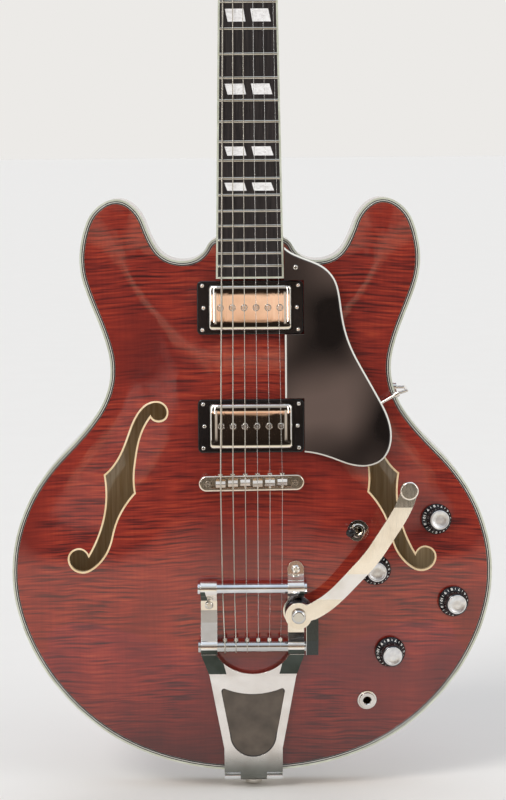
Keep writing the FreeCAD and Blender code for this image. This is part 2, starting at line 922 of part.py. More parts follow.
heelShares = [(1, 0, 0.14), (0.66, 0.08, 0.2), (0.4, 0.3, 0.38), (0.18, 0.66, 0.58), (0, 1, 0.66)]
neckWires = [neckSection(0, s.neckDepthAtNut, heelShares[0][2])]
for alongShare, depthShare, flankShare in heelShares:
    depth = s.neckDepthAtBody + (s.heelDepth - s.neckDepthAtBody) * depthShare
    neckWires.append(neckSection(jointAlong + s.heelLength * alongShare, depth, flankShare))
neckShaft = Part.makeLoft(neckWires[:2], True, True)
neckHeel = Part.makeLoft(neckWires[1:], True, True)
heelSpace = boxAt(0, jointUp + s.scaleLength / 2, -s.rimDepth,
                  s.lowerBoutWidth, s.scaleLength, 2 * s.rimDepth)
neckHeel = inNeck(neckHeel).common(heelSpace)

# Half outline of the head, as shares of its width and length, with a plain rounded end.
headShares = [(0.275, 0), (0.29, 0.05), (0.385, 0.15), (0.415, 0.22), (0.44, 0.5), (0.47, 0.76),
              (0.49, 0.9), (0.4, 0.975), (0, 1.0)]
headPoints = [Vector(across * s.headWidth, along * s.headLength, 0) for across, along in headShares]
headPoints[0].x = s.nutWidth / 2
headArcs = arcRun(headPoints, Vector(0, 1, 0), Vector(-1, 0, 0))


def headWire():
    edges = []
    arcs = headArcs + mirroredArcs(headArcs)
    for arc in arcs:
        edges.append(Part.Arc(*[Vector(point.x, 0, point.y) for point in arc]).toShape())
    start = Vector(arcs[-1][2].x, 0, arcs[-1][2].y)
    end = Vector(arcs[0][0].x, 0, arcs[0][0].y)
    edges.append(Part.LineSegment(start, end).toShape())
    return Part.Wire(edges)


headWood = inHead(Part.Face(headWire()).extrude(Vector(0, s.headThickness, 0)))
veneer = inHead(Part.Face(headWire()).extrude(Vector(0, -s.veneerThickness, 0)))

tuners = []
for index in range(6):
    side = -1 if index < 3 else 1
    order = index if index < 3 else 5 - index
    along = s.firstPost + order * s.postSpacing
    widthShare = 0.415 + 0.055 * order / 2
    edge = widthShare * s.headWidth
    tuners.append((side, edge, edge - s.postInset, along))

postHoles = []
for side, edge, across, along in tuners:
    start = Vector(side * across, s.headThickness + s.overrun, along)
    end = Vector(side * across, -s.veneerThickness - s.overrun, along)
    postHoles.append(inHead(rod(start, end, s.bushingRadius + s.closeFit)))

rodStart = Vector(0, s.boardThickness + s.rodDepth, jointAlong)
rodEnd = Vector(0, s.boardThickness + s.rodDepth * 0.6, s.nutThickness)
trussRod = inNeck(rod(rodStart, rodEnd, s.rodRadius))
rodPocket = inHead(Part.makeBox(s.coverWidth / 2, s.rodDepth, s.coverLength / 2,
                                Vector(-s.coverWidth / 4, -s.veneerThickness, s.nutThickness)))
nutSeat = inNeck(Part.makeBox(s.nutWidth, s.nutHeight, s.nutThickness,
                              Vector(-s.nutWidth / 2, s.boardThickness - s.nutHeight, 0)))
neckWood = fused([inNeck(neckShaft), neckHeel, neckTenon, headWood])
neckCuts = postHoles + coverBores
neckCuts += [pickupWell("neck"), trussRod, rodPocket, nutSeat, fingerboardSpace]
keep(feature("neck", neckWood.cut(neckCuts)))
keep(feature("truss_rod", trussRod.cut(nutSeat)))
keep(feature("headstock_veneer", veneer.cut(postHoles + coverBores + [rodPocket, nutSeat])))

# Fretboard with its bindings, inlays and frets.
core = crownedBoard(-s.boardLength + s.boardBinding, 0, s.boardBinding)
whole = crownedBoard(-s.boardLength, 0, 0)
inlayFrets = [3, 5, 7, 9, 12, 15, 17]
leftShares = [(-0.76, 1), (-0.148, 1), (-0.08, -1), (-0.67, -1)]
lengthShare = 0.48
inlays = []
for number in inlayFrets:
    middle = (fretAt(number) + fretAt(number - 1)) / 2
    reach = (fretAt(number - 1) - fretAt(number)) * lengthShare / 2
    half = boardHalf(middle)
    for turn in (1, -1):
        corners = [Vector(turn * across * half, 0, middle + turn * along * reach)
                   for across, along in leftShares]
        face = Part.Face(Part.makePolygon(corners + corners[:1]))
        face.translate(Vector(0, -s.overrun, 0))
        block = face.extrude(Vector(0, s.overrun + crownDrop(half) + s.inlayDepth, 0))
        inlays.append(block.common(core))
keep(feature("fretboard", inNeck(core.cut(inlays))))
keep(feature("fretboard_binding", inNeck(whole.cut(core))))
keep(group("fret_inlays", [inNeck(inlay) for inlay in inlays]))


def fretShape(number):
    along = fretAt(number)
    half = boardHalf(along) - s.boardBinding - s.closeFit
    reach = s.fretWidth / 2
    low = -s.sliver
    edges = [
        Part.makeLine(Vector(0, low, along - reach), Vector(0, low, along + reach)),
        Part.Arc(Vector(0, low, along + reach), Vector(0, -s.fretHeight, along),
                 Vector(0, low, along - reach)).toShape(),
    ]
    section = Part.Face(Part.Wire(edges))
    swing = math.degrees(math.asin(half / s.boardRadius))
    centre = Vector(0, s.boardRadius, along)
    section.rotate(centre, Vector(0, 0, 1), -swing)
    return section.revolve(centre, Vector(0, 0, 1), 2 * swing)


keep(group("frets", [inNeck(fretShape(number)) for number in range(1, fretCount + 1)]))


# Strings: places across the instrument at the nut, the bridge and the string bar.
def stringShare(index):
    return index / 5 - 0.5


nutTop = s.fretHeight + s.fretHeight / 2


def nutSpot(index):
    return Vector(stringShare(index) * s.nutSpread, -nutTop - stringRadii[index], 0)


nutBlank = Part.makeBox(s.nutWidth, s.nutHeight, s.nutThickness,
                        Vector(-s.nutWidth / 2, s.boardThickness - s.nutHeight, 0))
nutEdges = [edge for edge in nutBlank.Edges if edge.CenterOfMass.y < s.boardThickness - s.nutHeight + s.sliver]
nutShape = nutBlank.makeFillet(s.nutThickness / 4, nutEdges)
nutSlots = []
for index in range(6):
    start = nutSpot(index) - upward * s.overrun
    end = nutSpot(index) + upward * (s.nutThickness + s.overrun)
    nutSlots.append(rod(start, end, stringRadii[index] + s.closeFit))
keep(feature("nut", inNeck(nutShape.cut(nutSlots))))

# Truss rod cover: a plain plate with a rounded upper end over the pocket.
coverHalf = s.coverWidth / 2
coverStraight = s.coverLength - coverHalf
coverEdges = [
    Part.makeLine(Vector(-coverHalf, 0, 0), Vector(coverHalf, 0, 0)),
    Part.makeLine(Vector(coverHalf, 0, 0), Vector(coverHalf, 0, coverStraight)),
    Part.Arc(Vector(coverHalf, 0, coverStraight), Vector(0, 0, s.coverLength),
             Vector(-coverHalf, 0, coverStraight)).toShape(),
    Part.makeLine(Vector(-coverHalf, 0, coverStraight), Vector(-coverHalf, 0, 0)),
]
coverPlate = Part.Face(Part.Wire(coverEdges)).extrude(Vector(0, -s.coverThickness, 0))
coverRim = [edge for edge in coverPlate.Edges if edge.CenterOfMass.y < s.sliver - s.coverThickness]
coverPlate = coverPlate.makeChamfer(s.coverThickness / 3, coverRim)
coverPlate.translate(Vector(0, -s.veneerThickness, s.nutThickness + s.overrun))
keep(feature("truss_rod_cover", inHead(coverPlate).cut(coverBores)))


# One screw with a rounded head and a cross recess.
def screwAt(seat):
    place, headRadius, length = seat
    reach = s.screwHeadHeight
    section = Part.Wire([
        Part.makeLine(Vector(0, 0, -length), Vector(s.screwShankRadius, 0, -length)),
        Part.makeLine(Vector(s.screwShankRadius, 0, -length), Vector(s.screwShankRadius, 0, 0)),
        Part.makeLine(Vector(s.screwShankRadius, 0, 0), Vector(headRadius, 0, 0)),
        Part.Arc(Vector(headRadius, 0, 0), Vector(headRadius * 0.72, 0, reach * 0.72),
                 Vector(0, 0, reach)).toShape(),
        Part.makeLine(Vector(0, 0, reach), Vector(0, 0, -length)),
    ])
    screw = Part.Face(section).revolve(Vector(0, 0, 0), Vector(0, 0, 1), 360)
    slot = Part.makeBox(headRadius * 1.3, headRadius * 0.3, reach,
                        Vector(-headRadius * 0.65, -headRadius * 0.15, reach / 2))
    other = slot.copy()
    other.rotate(Vector(0, 0, 0), Vector(0, 0, 1), 90)
    screw = screw.cut([slot, other])
    screw.Placement = place
    return screw


screws = [screwAt(seat) for seat in coverSeats + [guardSeat] + railSeats + hingeSeats]

# Tuners: a housing behind the head, a bushing in front, a post and a button on its worm shaft.
housings = []
shaftReach = "postInset + housingWidth * 0.3 + buttonClearance + buttonWidth / 2"
for number, (side, edge, across, along) in enumerate(tuners, start=1):
    back = s.headThickness
    postStart = Vector(across * side, back + s.housingDepth * 0.7, along)
    shaftY = back + s.housingDepth / 2
    wormZ = along - s.wormOffset
    box = Part.makeBox(s.housingWidth, s.housingDepth, s.housingLength,
                       Vector(side * across - s.housingWidth / 2, back, along - s.housingLength * 0.62))
    softEdges = [e for e in box.Edges if e.CenterOfMass.y > back + s.sliver]
    box = box.makeFillet(s.housingWidth / 8, softEdges)
    bushing = rod(Vector(side * across, back, along),
                  Vector(side * across, -s.veneerThickness - s.bushingRise, along), s.bushingRadius)
    washer = rod(Vector(side * across, -s.veneerThickness, along),
                 Vector(side * across, -s.veneerThickness - s.bushingRise / 3, along),
                 s.bushingRadius * 1.45)
    hole = rod(postStart + inward * s.closeFit, Vector(side * across, -s.headThickness, along),
               s.postRadius + s.shaftClearance)
    shaftInner = side * (across - s.housingWidth * 0.3)
    shaftHole = rod(Vector(shaftInner - side * s.closeFit, shaftY, wormZ),
                    Vector(side * (across + s.housingWidth), shaftY, wormZ),
                    s.wormRadius + s.shaftClearance)
    casing = fused([box, bushing, washer]).cut([hole, shaftHole])
    housings.append(inHead(casing))

    post = turned(f"tuner_post_{number}", [
        ("0", "0"), ("postRadius", "0"), ("postRadius", "headThickness * 1.2 + housingDepth"),
        ("postWaistRadius", "headThickness * 1.2 + housingDepth + postRise / 8"),
        ("postWaistRadius", "headThickness * 1.2 + housingDepth + postRise / 3"),
        ("postRadius", "headThickness * 1.2 + housingDepth + postRise / 2"),
        ("0", "headThickness * 1.2 + housingDepth + postRise / 2"),
    ])
    eye = newSketch(post, "XZ_Plane")
    drawCircle(eye, "postWaistRadius / 3", "0",
               "headThickness * 1.2 + housingDepth + postRise / 4.4")
    hollow = post.newObject("PartDesign::Pocket", "StringHole")
    hollow.Profile = eye
    hollow.Midplane = True
    hollow.setExpression("Length", bound("postRadius * 4"))
    keep(post, headPlace.multiply(facing(postStart)))

    button = padded(f"tuner_button_{number}", [
        ("-buttonLength / 2", "-buttonWidth / 5"), ("-buttonLength / 4", "-buttonWidth / 2"),
        ("buttonLength / 4", "-buttonWidth / 2"), ("buttonLength / 2", "-buttonWidth / 5"),
        ("buttonLength / 2", "buttonWidth / 5"), ("buttonLength / 4", "buttonWidth / 2"),
        ("-buttonLength / 4", "buttonWidth / 2"), ("-buttonLength / 2", "buttonWidth / 5"),
    ], "buttonThickness", middle=True)
    rounded(button, "buttonRound", lambda e: abs(e.CenterOfMass.z) > s.buttonThickness / 2 - s.sliver)
    stem = newSketch(button, "XZ_Plane")
    drawCircle(stem, "wormRadius")
    shaft = button.newObject("PartDesign::Pad", "Shaft")
    shaft.Profile = stem
    shaft.Reversed = True
    shaft.setExpression("Length", bound(shaftReach))
    buttonMiddle = Vector(side * (edge + s.buttonClearance + s.buttonWidth / 2), shaftY, wormZ)
    # Local Y of the button runs from the button to its worm: it turns to point at the head.
    turn = Rotation(Vector(0, 1, 0), sideward * -side)
    keep(button, headPlace.multiply(Placement(buttonMiddle, turn)))
keep(group("tuner_housings", housings))

# Bridge: base on two thumbwheels, with a trough that six saddles slide in.
def onBridge(shape):
    moved = shape.copy()
    moved.Placement = bridgePlace.multiply(moved.Placement)
    return moved


endRadius = s.bridgeWidth / 2
baseBox = Part.makeBox(s.bridgeLength - s.bridgeWidth, s.bridgeHeight, s.bridgeWidth,
                       Vector(-s.bridgeLength / 2 + endRadius, 0, -endRadius))
baseEnds = []
for side in (-1, 1):
    x = side * (s.bridgeLength / 2 - endRadius)
    baseEnds.append(Part.makeCylinder(endRadius, s.bridgeHeight, Vector(x, 0, 0), inward))
base = fused([baseBox] + baseEnds)
topRim = [e for e in base.Edges if e.CenterOfMass.y < s.sliver]
base = base.makeFillet(s.bridgeHeight / 6, topRim)
trough = Part.makeBox(s.troughLength, s.troughDepth, s.troughWidth,
                      Vector(-s.troughLength / 2, -s.sliver, -s.troughWidth / 2))
saddleScrewOut = -s.troughDepth * 0.55
compensationShares = [-0.5, 0.1, 0.6, -0.4, 0.1, 0.6]
saddlePitch = s.stringSpread / 5
bridgeHoles = [trough]
screwShapes = []
for index in range(6):
    x = stringShare(index) * s.stringSpread
    start = Vector(x, -saddleScrewOut, -s.troughWidth / 2 - s.bridgeWidth / 8)
    end = Vector(x, -saddleScrewOut, endRadius + s.saddleHeadRadius * 0.5)
    shank = rod(start, end, s.saddleScrewRadius)
    bridgeHoles.append(rod(start, end, s.saddleScrewRadius + s.closeFit))
    head = rod(Vector(x, -saddleScrewOut, endRadius + s.closeFit), end + upward * s.closeFit,
               s.saddleHeadRadius)
    slot = Part.makeBox(s.saddleHeadRadius * 2.4, s.saddleHeadRadius * 0.3, s.saddleHeadRadius,
                        end + Vector(-s.saddleHeadRadius * 1.2, -s.saddleHeadRadius * 0.15,
                                     -s.saddleHeadRadius * 0.3))
    screwShapes.append(onBridge(shank.fuse(head).cut(slot)))
for side in (-1, 1):
    x = side * s.studSpacing / 2
    bridgeHoles.append(Part.makeCylinder(s.studRadius + s.closeFit, 3 * s.bridgeHeight,
                                         Vector(x, -s.bridgeHeight, 0), inward))
keep(feature("bridge_base", onBridge(base.cut(bridgeHoles))))
screws += screwShapes

saddlePlaces = []
saddleDeep = s.troughDepth - s.saddleClearance
for index in range(6):
    number = index + 1
    x = stringShare(index) * s.stringSpread
    shift = compensationShares[index] * s.saddleTravel
    crest = s.stringOut - s.bridgeTopOut - stringRadii[index]
    half = s.saddleLength / 2
    section = Part.makePolygon([
        Vector(0, saddleDeep, -half), Vector(0, saddleDeep, half), Vector(0, 0, half * 0.9),
        Vector(0, -crest, half * 0.1), Vector(0, -crest, -half * 0.1),
        Vector(0, 0, -half * 0.9), Vector(0, saddleDeep, -half)])
    block = Part.Face(section).extrude(Vector(s.saddleWidth, 0, 0))
    block.translate(Vector(-s.saddleWidth / 2, 0, 0))
    bore = rod(Vector(0, -saddleScrewOut, -s.saddleLength), Vector(0, -saddleScrewOut, s.saddleLength),
               s.saddleScrewRadius + s.shaftClearance)
    block = block.cut(bore)
    block.translate(Vector(x, 0, shift))
    overSaddle = -crest - stringRadii[index] - 2 * s.closeFit
    saddlePlaces.append(bridgePlace.multVec(Vector(x, overSaddle, shift)))
    keep(feature(f"saddle_{number}", onBridge(block)))

studs = []
wheelOut = s.bridgeTopOut - s.bridgeHeight - s.closeFit
for across, up in studSpots:
    stud = rod(at(across, up, studBottom), at(across, up, s.bridgeTopOut + s.studRadius / 3), s.studRadius)
    slotBox = boxAt(across, up, s.bridgeTopOut, 3 * s.studRadius, s.studRadius / 3, s.studRadius)
    wheel = rod(at(across, up, wheelOut - s.wheelThickness), at(across, up, wheelOut), s.wheelRadius)
    wheelRim = [e for e in wheel.Edges if len(e.Vertexes) == 1]
    wheel = wheel.makeChamfer(s.wheelThickness / 6, wheelRim)
    studs.append(fused([stud.cut(slotBox), wheel]))
keep(group("bridge_studs", studs))

# Pickups: a ring shaped to the arched top, a metal cover, the coil inside and six pole screws.
def onPickup(which, shape):
    moved = shape.copy()
    moved.Placement = pickupPlace(which).multiply(moved.Placement)
    return moved


def roundedSlab(long, wide, tall, radius, bottom):
    slab = Part.makeBox(long, wide, tall, Vector(-long / 2, -wide / 2, bottom))
    upright = [e for e in slab.Edges if abs(e.tangentAt(e.FirstParameter).z) > 0.5]
    return slab.makeFillet(radius, upright)


rings = []
covers = []
coils = []
poles = []
for which in ("neck", "bridge"):
    ringTall = s.coverTall
    slab = roundedSlab(s.ringLength, s.ringWidth, ringTall, s.ringRound, ringTop - ringTall)
    topEdges = [e for e in slab.Edges if e.CenterOfMass.z > ringTop - s.sliver]
    slab = slab.makeFillet(s.ringRound / 4, topEdges)
    opening = roundedSlab(s.coverLong + 2 * s.fitGap, s.coverWide + 2 * s.fitGap, 2 * ringTall,
                          s.coverRound, ringTop - 1.5 * ringTall)
    space = spaceAboveTop(-s.ringLength, s.ringLength, pickupUp(which) - s.ringWidth,
                          min(pickupUp(which) + s.ringWidth, jointUp))
    seats = ringSeats(which)
    ring = onPickup(which, slab.cut(opening)).common(space)
    rings.append(ring.cut([screwBore(seat) for seat in seats]))
    screws += [screwAt(seat) for seat in seats]
    shell = roundedSlab(s.coverLong, s.coverWide, s.coverTall, s.coverRound, -s.coverTall)
    crown = [e for e in shell.Edges if e.CenterOfMass.z > -s.sliver]
    shell = shell.makeFillet(s.coverRound / 2, crown)
    hollow = roundedSlab(s.coverLong - 2 * s.coverWall, s.coverWide - 2 * s.coverWall, s.coverTall,
                         s.coverRound - s.coverWall, -s.coverTall - s.coverWall)
    holes = []
    coil = roundedSlab(s.coverLong - 2 * s.coverWall - 2 * s.closeFit, s.coverWide * 0.5,
                       s.coverTall * 0.6, s.coverRound - s.coverWall, -s.coverTall * 0.7)
    coverHoles = []
    for index in range(6):
        x = stringShare(index) * s.stringSpread * (0.96 if which == "neck" else 0.97)
        poleLine = (Vector(x, 0, -s.poleLength), Vector(x, 0, s.overrun))
        holes.append(rod(*poleLine, s.poleRadius + s.closeFit))
        coverHoles.append(rod(*poleLine, s.poleRadius + s.poleGap))
        pole = rod(Vector(x, 0, s.poleRise - s.poleLength), Vector(x, 0, s.poleRise), s.poleRadius)
        edge = [e for e in pole.Edges if e.CenterOfMass.z > s.poleRise - s.sliver]
        pole = pole.makeChamfer(s.poleRise / 3, edge)
        slot = Part.makeBox(3 * s.poleRadius, s.poleRadius * 0.34, s.poleRise,
                            Vector(-1.5 * s.poleRadius + x, -s.poleRadius * 0.17, s.poleRise * 0.3))
        poles.append(onPickup(which, pole.cut(slot)))
    covers.append(onPickup(which, shell.cut([hollow] + coverHoles)))
    coils.append(onPickup(which, coil.cut(holes)))
keep(group("pickup_rings", rings))
keep(group("pickup_covers", covers))
keep(group("pickup_coils", coils))
keep(group("pickup_pole_screws", poles))

# Knobs: a flared skirt under a straight neck with a metal cap, bored for the shaft that it turns.
pots = []
for name in knobNames:
    knob = turned(name, [
        ("shaftRadius", "0"), ("knobRadius", "0"), ("knobRadius", "knobSkirt"),
        ("knobNeckRadius", "knobHeight * 0.42"), ("knobNeckRadius * 0.97", "knobHeight * 0.94"),
        ("knobCapRadius", "knobHeight"), ("0", "knobHeight"), ("0", "shaftLength * -1 + knobHeight / 2"),
        ("shaftRadius", "shaftLength * -1 + knobHeight / 2"),
    ])
    keep(knob, onTop(name, s.knobLift))
    bush = Part.makeCylinder(s.potBushRadius, s.plateThickness + s.overrun,
                             Vector(0, 0, -s.plateThickness - s.overrun))
    can = Part.makeCylinder(s.potRadius, s.potDepth,
                            Vector(0, 0, -s.plateThickness - s.potDepth - s.overrun))
    bore = Part.makeCylinder(s.shaftRadius + s.shaftClearance, s.shaftLength,
                             Vector(0, 0, -s.shaftLength + s.knobHeight / 2))
    pot = fused([bush, can]).cut(bore)
    pot.Placement = onTop(name)
    pots.append(pot)
keep(group("potentiometers", pots))

# Selector switch: body under the top, a flat washer and nut above it, and the leaning lever,
# which turns on a pin in the body.
washer = Part.makeCylinder(s.switchWasherRadius, s.switchNutRadius / 6)
nutRing = Part.makeCylinder(s.switchNutRadius, s.switchNutRadius / 2)
nutRim = [e for e in nutRing.Edges if e.CenterOfMass.z > s.sliver]
nutRing = nutRing.makeChamfer(s.switchNutRadius / 8, nutRim)
stem = Part.makeCylinder(s.switchNutRadius * 0.98, 3 * s.plateThickness, Vector(0, 0, -3 * s.plateThickness))
lean = math.radians(s.leverLean)
throatLow = s.leverRadius / math.cos(lean) + 2 * s.closeFit
throatTall = s.leverPivotDepth + s.switchNutRadius
throat = Part.makeCone(throatLow, throatLow + throatTall * math.tan(lean), throatTall,
                       Vector(0, 0, -s.leverPivotDepth))
cave = Part.makeSphere(s.leverRadius * 1.7 + s.closeFit, Vector(0, 0, -s.leverPivotDepth))
pinRadius = s.leverRadius * 0.4
pinHalf = s.leverRadius * 2.2
pinHole = Part.makeCylinder(pinRadius + s.closeFit, 2 * (pinHalf + s.closeFit),
                            Vector(0, -pinHalf - s.closeFit, -s.leverPivotDepth), Vector(0, 1, 0))
switchBody = fused([washer, nutRing, stem]).cut([throat, cave, pinHole])
switchBody.Placement = onTop("toggle")
keep(feature("switch_body", switchBody))
leverCore = turned("lever_core", [
    ("0", "-leverRadius"), ("leverRadius", "-leverRadius / 2"),
    ("leverRadius", "leverLength - leverTipRadius * 0.9"),
    ("leverTipRadius * 0.9", "leverLength - leverTipRadius * 0.5"),
    ("leverTipRadius", "leverLength + leverTipRadius * 0.3"),
    ("leverTipRadius * 0.75", "leverLength + leverTipRadius"),
    ("leverTipRadius * 0.3", "leverLength + leverTipRadius * 1.25"),
    ("0", "leverLength + leverTipRadius * 1.3"),
])
leverPlace = onTop("toggle").multiply(
    Placement(Vector(0, 0, -s.leverPivotDepth), Rotation(Vector(0, 1, 0), -s.leverLean)))
doc.recompute()
leverPin = Part.makeCylinder(pinRadius, 2 * pinHalf, Vector(0, -pinHalf, 0), Vector(0, 1, 0))
keep(feature("switch_lever", fused([leverCore.Shape, leverPin])), leverPlace)

# Output jack: barrel through the top, washer and nut outside.
jack = turned("output_jack", [
    ("jackBore", "-jackDepth"), ("jackBarrelRadius", "-jackDepth"), ("jackBarrelRadius", "0"),
    ("jackRadius", "0"), ("jackRadius", "jackRise * 0.4"), ("jackRadius * 0.86", "jackRise * 0.5"),
    ("jackRadius * 0.8", "jackRise"), ("jackBore * 1.2", "jackRise"), ("jackBore", "jackRise * 0.7"),
])
keep(jack, onTop("jack", 3 * s.closeFit))

# Pickguard: a raised plate with a bevelled outer edge, notched round both rings and the board.
guardShares = [(0.115, 0.918), (0.23, 0.898), (0.294, 0.886), (0.327, 0.8745), (0.352, 0.858),
               (0.366, 0.836), (0.376, 0.806), (0.391, 0.774), (0.416, 0.744), (0.468, 0.702),
               (0.528, 0.657), (0.565, 0.624), (0.578, 0.591), (0.567, 0.568), (0.539, 0.551),
               (0.478, 0.5405), (0.412, 0.5425), (0.331, 0.5545), (0.249, 0.564), (0.2245, 0.5655)]
guardPoints = [Vector(across * halfBout, along * s.bodyLength, 0) for across, along in guardShares]
boardSide = boardHalf(-s.boardLength) + s.guardGap
ringSide = s.ringLength / 2 + s.guardGap
neckRingLow = pickupUp("neck") - s.ringWidth / 2 - s.guardGap
neckRingHigh = pickupUp("neck") + s.ringWidth / 2 + s.guardGap
bridgeRingHigh = pickupUp("bridge") + s.ringWidth / 2 + s.guardGap
guardPoints[0].x = boardSide
guardPoints[-1].x = ringSide
guardArcs = arcRun(guardPoints)
notches = [(ringSide, bridgeRingHigh), (boardSide, bridgeRingHigh), (boardSide, neckRingLow),
           (ringSide, neckRingLow), (ringSide, neckRingHigh), (boardSide, neckRingHigh)]
notchPoints = [guardPoints[-1]] + [Vector(x, y, 0) for x, y in notches] + [guardPoints[0]]
guardRuns = guardArcs + list(zip(notchPoints, notchPoints[1:]))
guardShape = prism(laidWire(guardRuns), s.guardOut - s.guardThickness, s.guardOut)
guardFront = frontY - s.guardOut + s.sliver
besideStrings = at(boardSide, (neckRingLow + bridgeRingHigh) / 2, s.guardOut)
bevelEdges = [e for e in guardShape.Edges if e.CenterOfMass.y < guardFront
              and (isinstance(e.Curve, Part.Circle) or e.CenterOfMass.sub(besideStrings).Length < s.sliver)]
guardShape = guardShape.makeChamfer(s.guardBevel, bevelEdges)
keep(feature("pickguard", guardShape.cut(guardBore)))
bracketShares = [(0.5, 0.641), (0.606, 0.666), (0.64, 0.6705)]
rodOut = s.guardOut - s.guardThickness - s.rodBracketRadius
bracketPath = [at(across * halfBout, along * s.bodyLength, rodOut) for across, along in bracketShares]
bendUp = bracketShares[-1][1] * s.bodyLength
rimAcross = min((abs(y - bendUp), x) for x, y in outlineLoop if x > 0)[1]
bend = bracketPath[-1]
rimLevel = -s.rimDepth / 3
bracketPath.append(at(bend.x, bendUp, rimLevel))
bracketPath.append(at(rimAcross, bendUp, rimLevel))
bracketParts = [rod(start, end, s.rodBracketRadius) for start, end in zip(bracketPath, bracketPath[1:])]
bracketParts += [Part.makeSphere(s.rodBracketRadius, point) for point in bracketPath[1:-1]]
bracketFoot = rod(at(rimAcross - s.rimWall, bendUp, rimLevel), at(rimAcross + s.rimWall / 3, bendUp, rimLevel),
                  3 * s.rodBracketRadius)
bracketRod = fused(bracketParts + [bracketFoot]).cut(outerBody)
bracketHeading = (bracketPath[1] - bracketPath[0]).normalize()
nutEnd = bracketPath[1]
bracketNut = rod(nutEnd - bracketHeading * 3 * s.rodBracketRadius, nutEnd, 2 * s.rodBracketRadius)
bracketNut = bracketNut.cut(rod(bracketPath[0], bracketPath[1] + bracketHeading, s.rodBracketRadius))
bracketNut = bracketNut.cut(guardShape)
spacerTop = at(*guardScrewSpot, s.guardOut - s.guardThickness)
spacer = rod(at(*guardScrewSpot, 0), spacerTop, 2 * s.screwHeadRadius)
spacer = spacer.common(spaceAboveTop(0, halfBout / 2, guardScrewSpot[1] - s.archGrid, jointUp)).cut(guardBore)
keep(group("pickguard_bracket", [bracketRod, bracketNut, spacer]))

# Vibrato frame: two humped rails with a boss for each bar, legs that drop to the plate, and a
# plate that narrows to the butt and bends over it to the hinge.
hingeUp = -s.knuckleRadius - s.hingePlateThickness - s.closeFit
hingeOut = -s.knuckleRadius * 1.6


def sideProfile(points):
    return Part.makePolygon([at(0, up, out) for up, out in points + points[:1]])


def sideSlab(points, inner, outer):
    face = Part.Face(sideProfile(points))
    face.translate(sideward * inner)
    return face.extrude(sideward * (outer - inner))


def boss(up, out, side):
    return rod(at(side * s.bossInner, up, out), at(side * s.bossOuter, up, out), s.bossRadius)


cupOut = s.topArch + s.railThickness / 3
seatOut = s.topArch + s.closeFit
tensionTop = s.tensionBarOut + s.barRadius
plateTop = seatOut + s.plateWall
left = [
    (s.stringBarUp, seatOut + s.railThickness / 4), (s.stringBarUp - s.bossRadius, s.stringBarOut),
    (s.stringBarUp, s.stringBarOut + s.bossRadius * 0.9),
    (s.stringBarUp + 3 * s.bossRadius, railOut + s.railThickness * 0.7),
    (s.tensionBarUp - 2.9 * s.bossRadius, railOut), (s.tensionBarUp - 1.7 * s.bossRadius, railOut),
    (s.tensionBarUp - s.bossRadius * 0.9, s.tensionBarOut),
    (s.tensionBarUp, s.tensionBarOut - s.barRadius * 0.5), (s.tensionBarUp + s.bossRadius * 0.5, railOut),
    (s.tensionBarUp, seatOut),
]
right = [
    (s.stringBarUp, seatOut + s.railThickness / 4), (s.stringBarUp - s.bossRadius, s.stringBarOut),
    (s.stringBarUp, s.stringBarOut + s.bossRadius * 0.9),
    (s.stringBarUp + s.bossRadius, s.stringBarOut), (s.stringBarUp + 1.5 * s.bossRadius, cupOut),
    (s.tensionBarUp - 1.3 * s.bossRadius, cupOut), (s.tensionBarUp - s.bossRadius * 0.9, s.tensionBarOut),
    (s.tensionBarUp + s.bossRadius * 0.9, s.tensionBarOut), (s.tensionBarUp + 1.6 * s.bossRadius, railOut),
    (s.tensionBarUp + s.railFootLength, railOut - s.railThickness / 3),
    (s.tensionBarUp + s.railFootLength, seatOut), (s.tensionBarUp, seatOut),
]
footRound = rod(at(railMiddle, footEnd - railWidth / 2, seatOut),
                at(railMiddle, footEnd - railWidth / 2, plateTop + s.plateWall), railWidth / 2)
footKeep = footRound.fuse(boxAt(railMiddle, footEnd - railWidth / 2 - s.bodyLength / 4, 0,
                                railWidth, s.bodyLength / 2, 2 * s.stringOut))
rightRail = sideSlab(right, s.bossInner, s.bossOuter).common(footKeep)
leftRail = sideSlab(left, -s.bossOuter, -s.bossInner)
springCup = rod(at(s.pivotAcross, s.pivotUp, seatOut), at(s.pivotAcross, s.pivotUp, cupOut),
                s.springRadius + 2 * s.springWire)

# The plate and its legs: a side view through all, kept inside the plan outline.
lipOut = hingeOut + s.knuckleRadius + s.armClearance
backGap = -s.hingePlateThickness - s.armClearance
plateFront = [
    (-s.knuckleRadius * 1.9, lipOut + s.plateWall / 2), (-s.knuckleRadius * 1.6, s.plateWall * 0.8),
    (-s.knuckleRadius * 0.6, s.plateWall * 1.35), (s.plateWall, s.plateWall * 1.55),
    (s.plateTaperUp, s.plateWall * 2), (s.plateTopUp * 0.6, seatOut), (s.plateTopUp, plateTop),
    (s.stringBarUp - s.bossRadius, s.stringBarOut + s.plateWall / 2), (s.stringBarUp, s.stringBarOut),
]
plateBack = [
    (s.stringBarUp, s.stringBarOut - s.plateWall),
    (s.stringBarUp - s.bossRadius, seatOut + s.plateWall / 4), (s.plateTopUp, seatOut),
    (s.plateTopUp * 0.6, seatOut - s.plateWall), (s.plateTaperUp, s.plateWall),
    (s.plateWall, s.plateWall * 0.6), (0, s.plateWall / 4), (backGap, lipOut + s.plateWall / 2),
]
plateSide = plateFront + plateBack
tongueSide = [
    (backGap, lipOut + s.plateWall / 2), (-s.knuckleRadius * 1.9, lipOut + s.plateWall / 2),
    (hingeUp - s.knuckleRadius, hingeOut), (hingeUp, hingeOut), (backGap, hingeOut),
]
tongueHalf = s.plateTaperedHalfWidth * 0.45
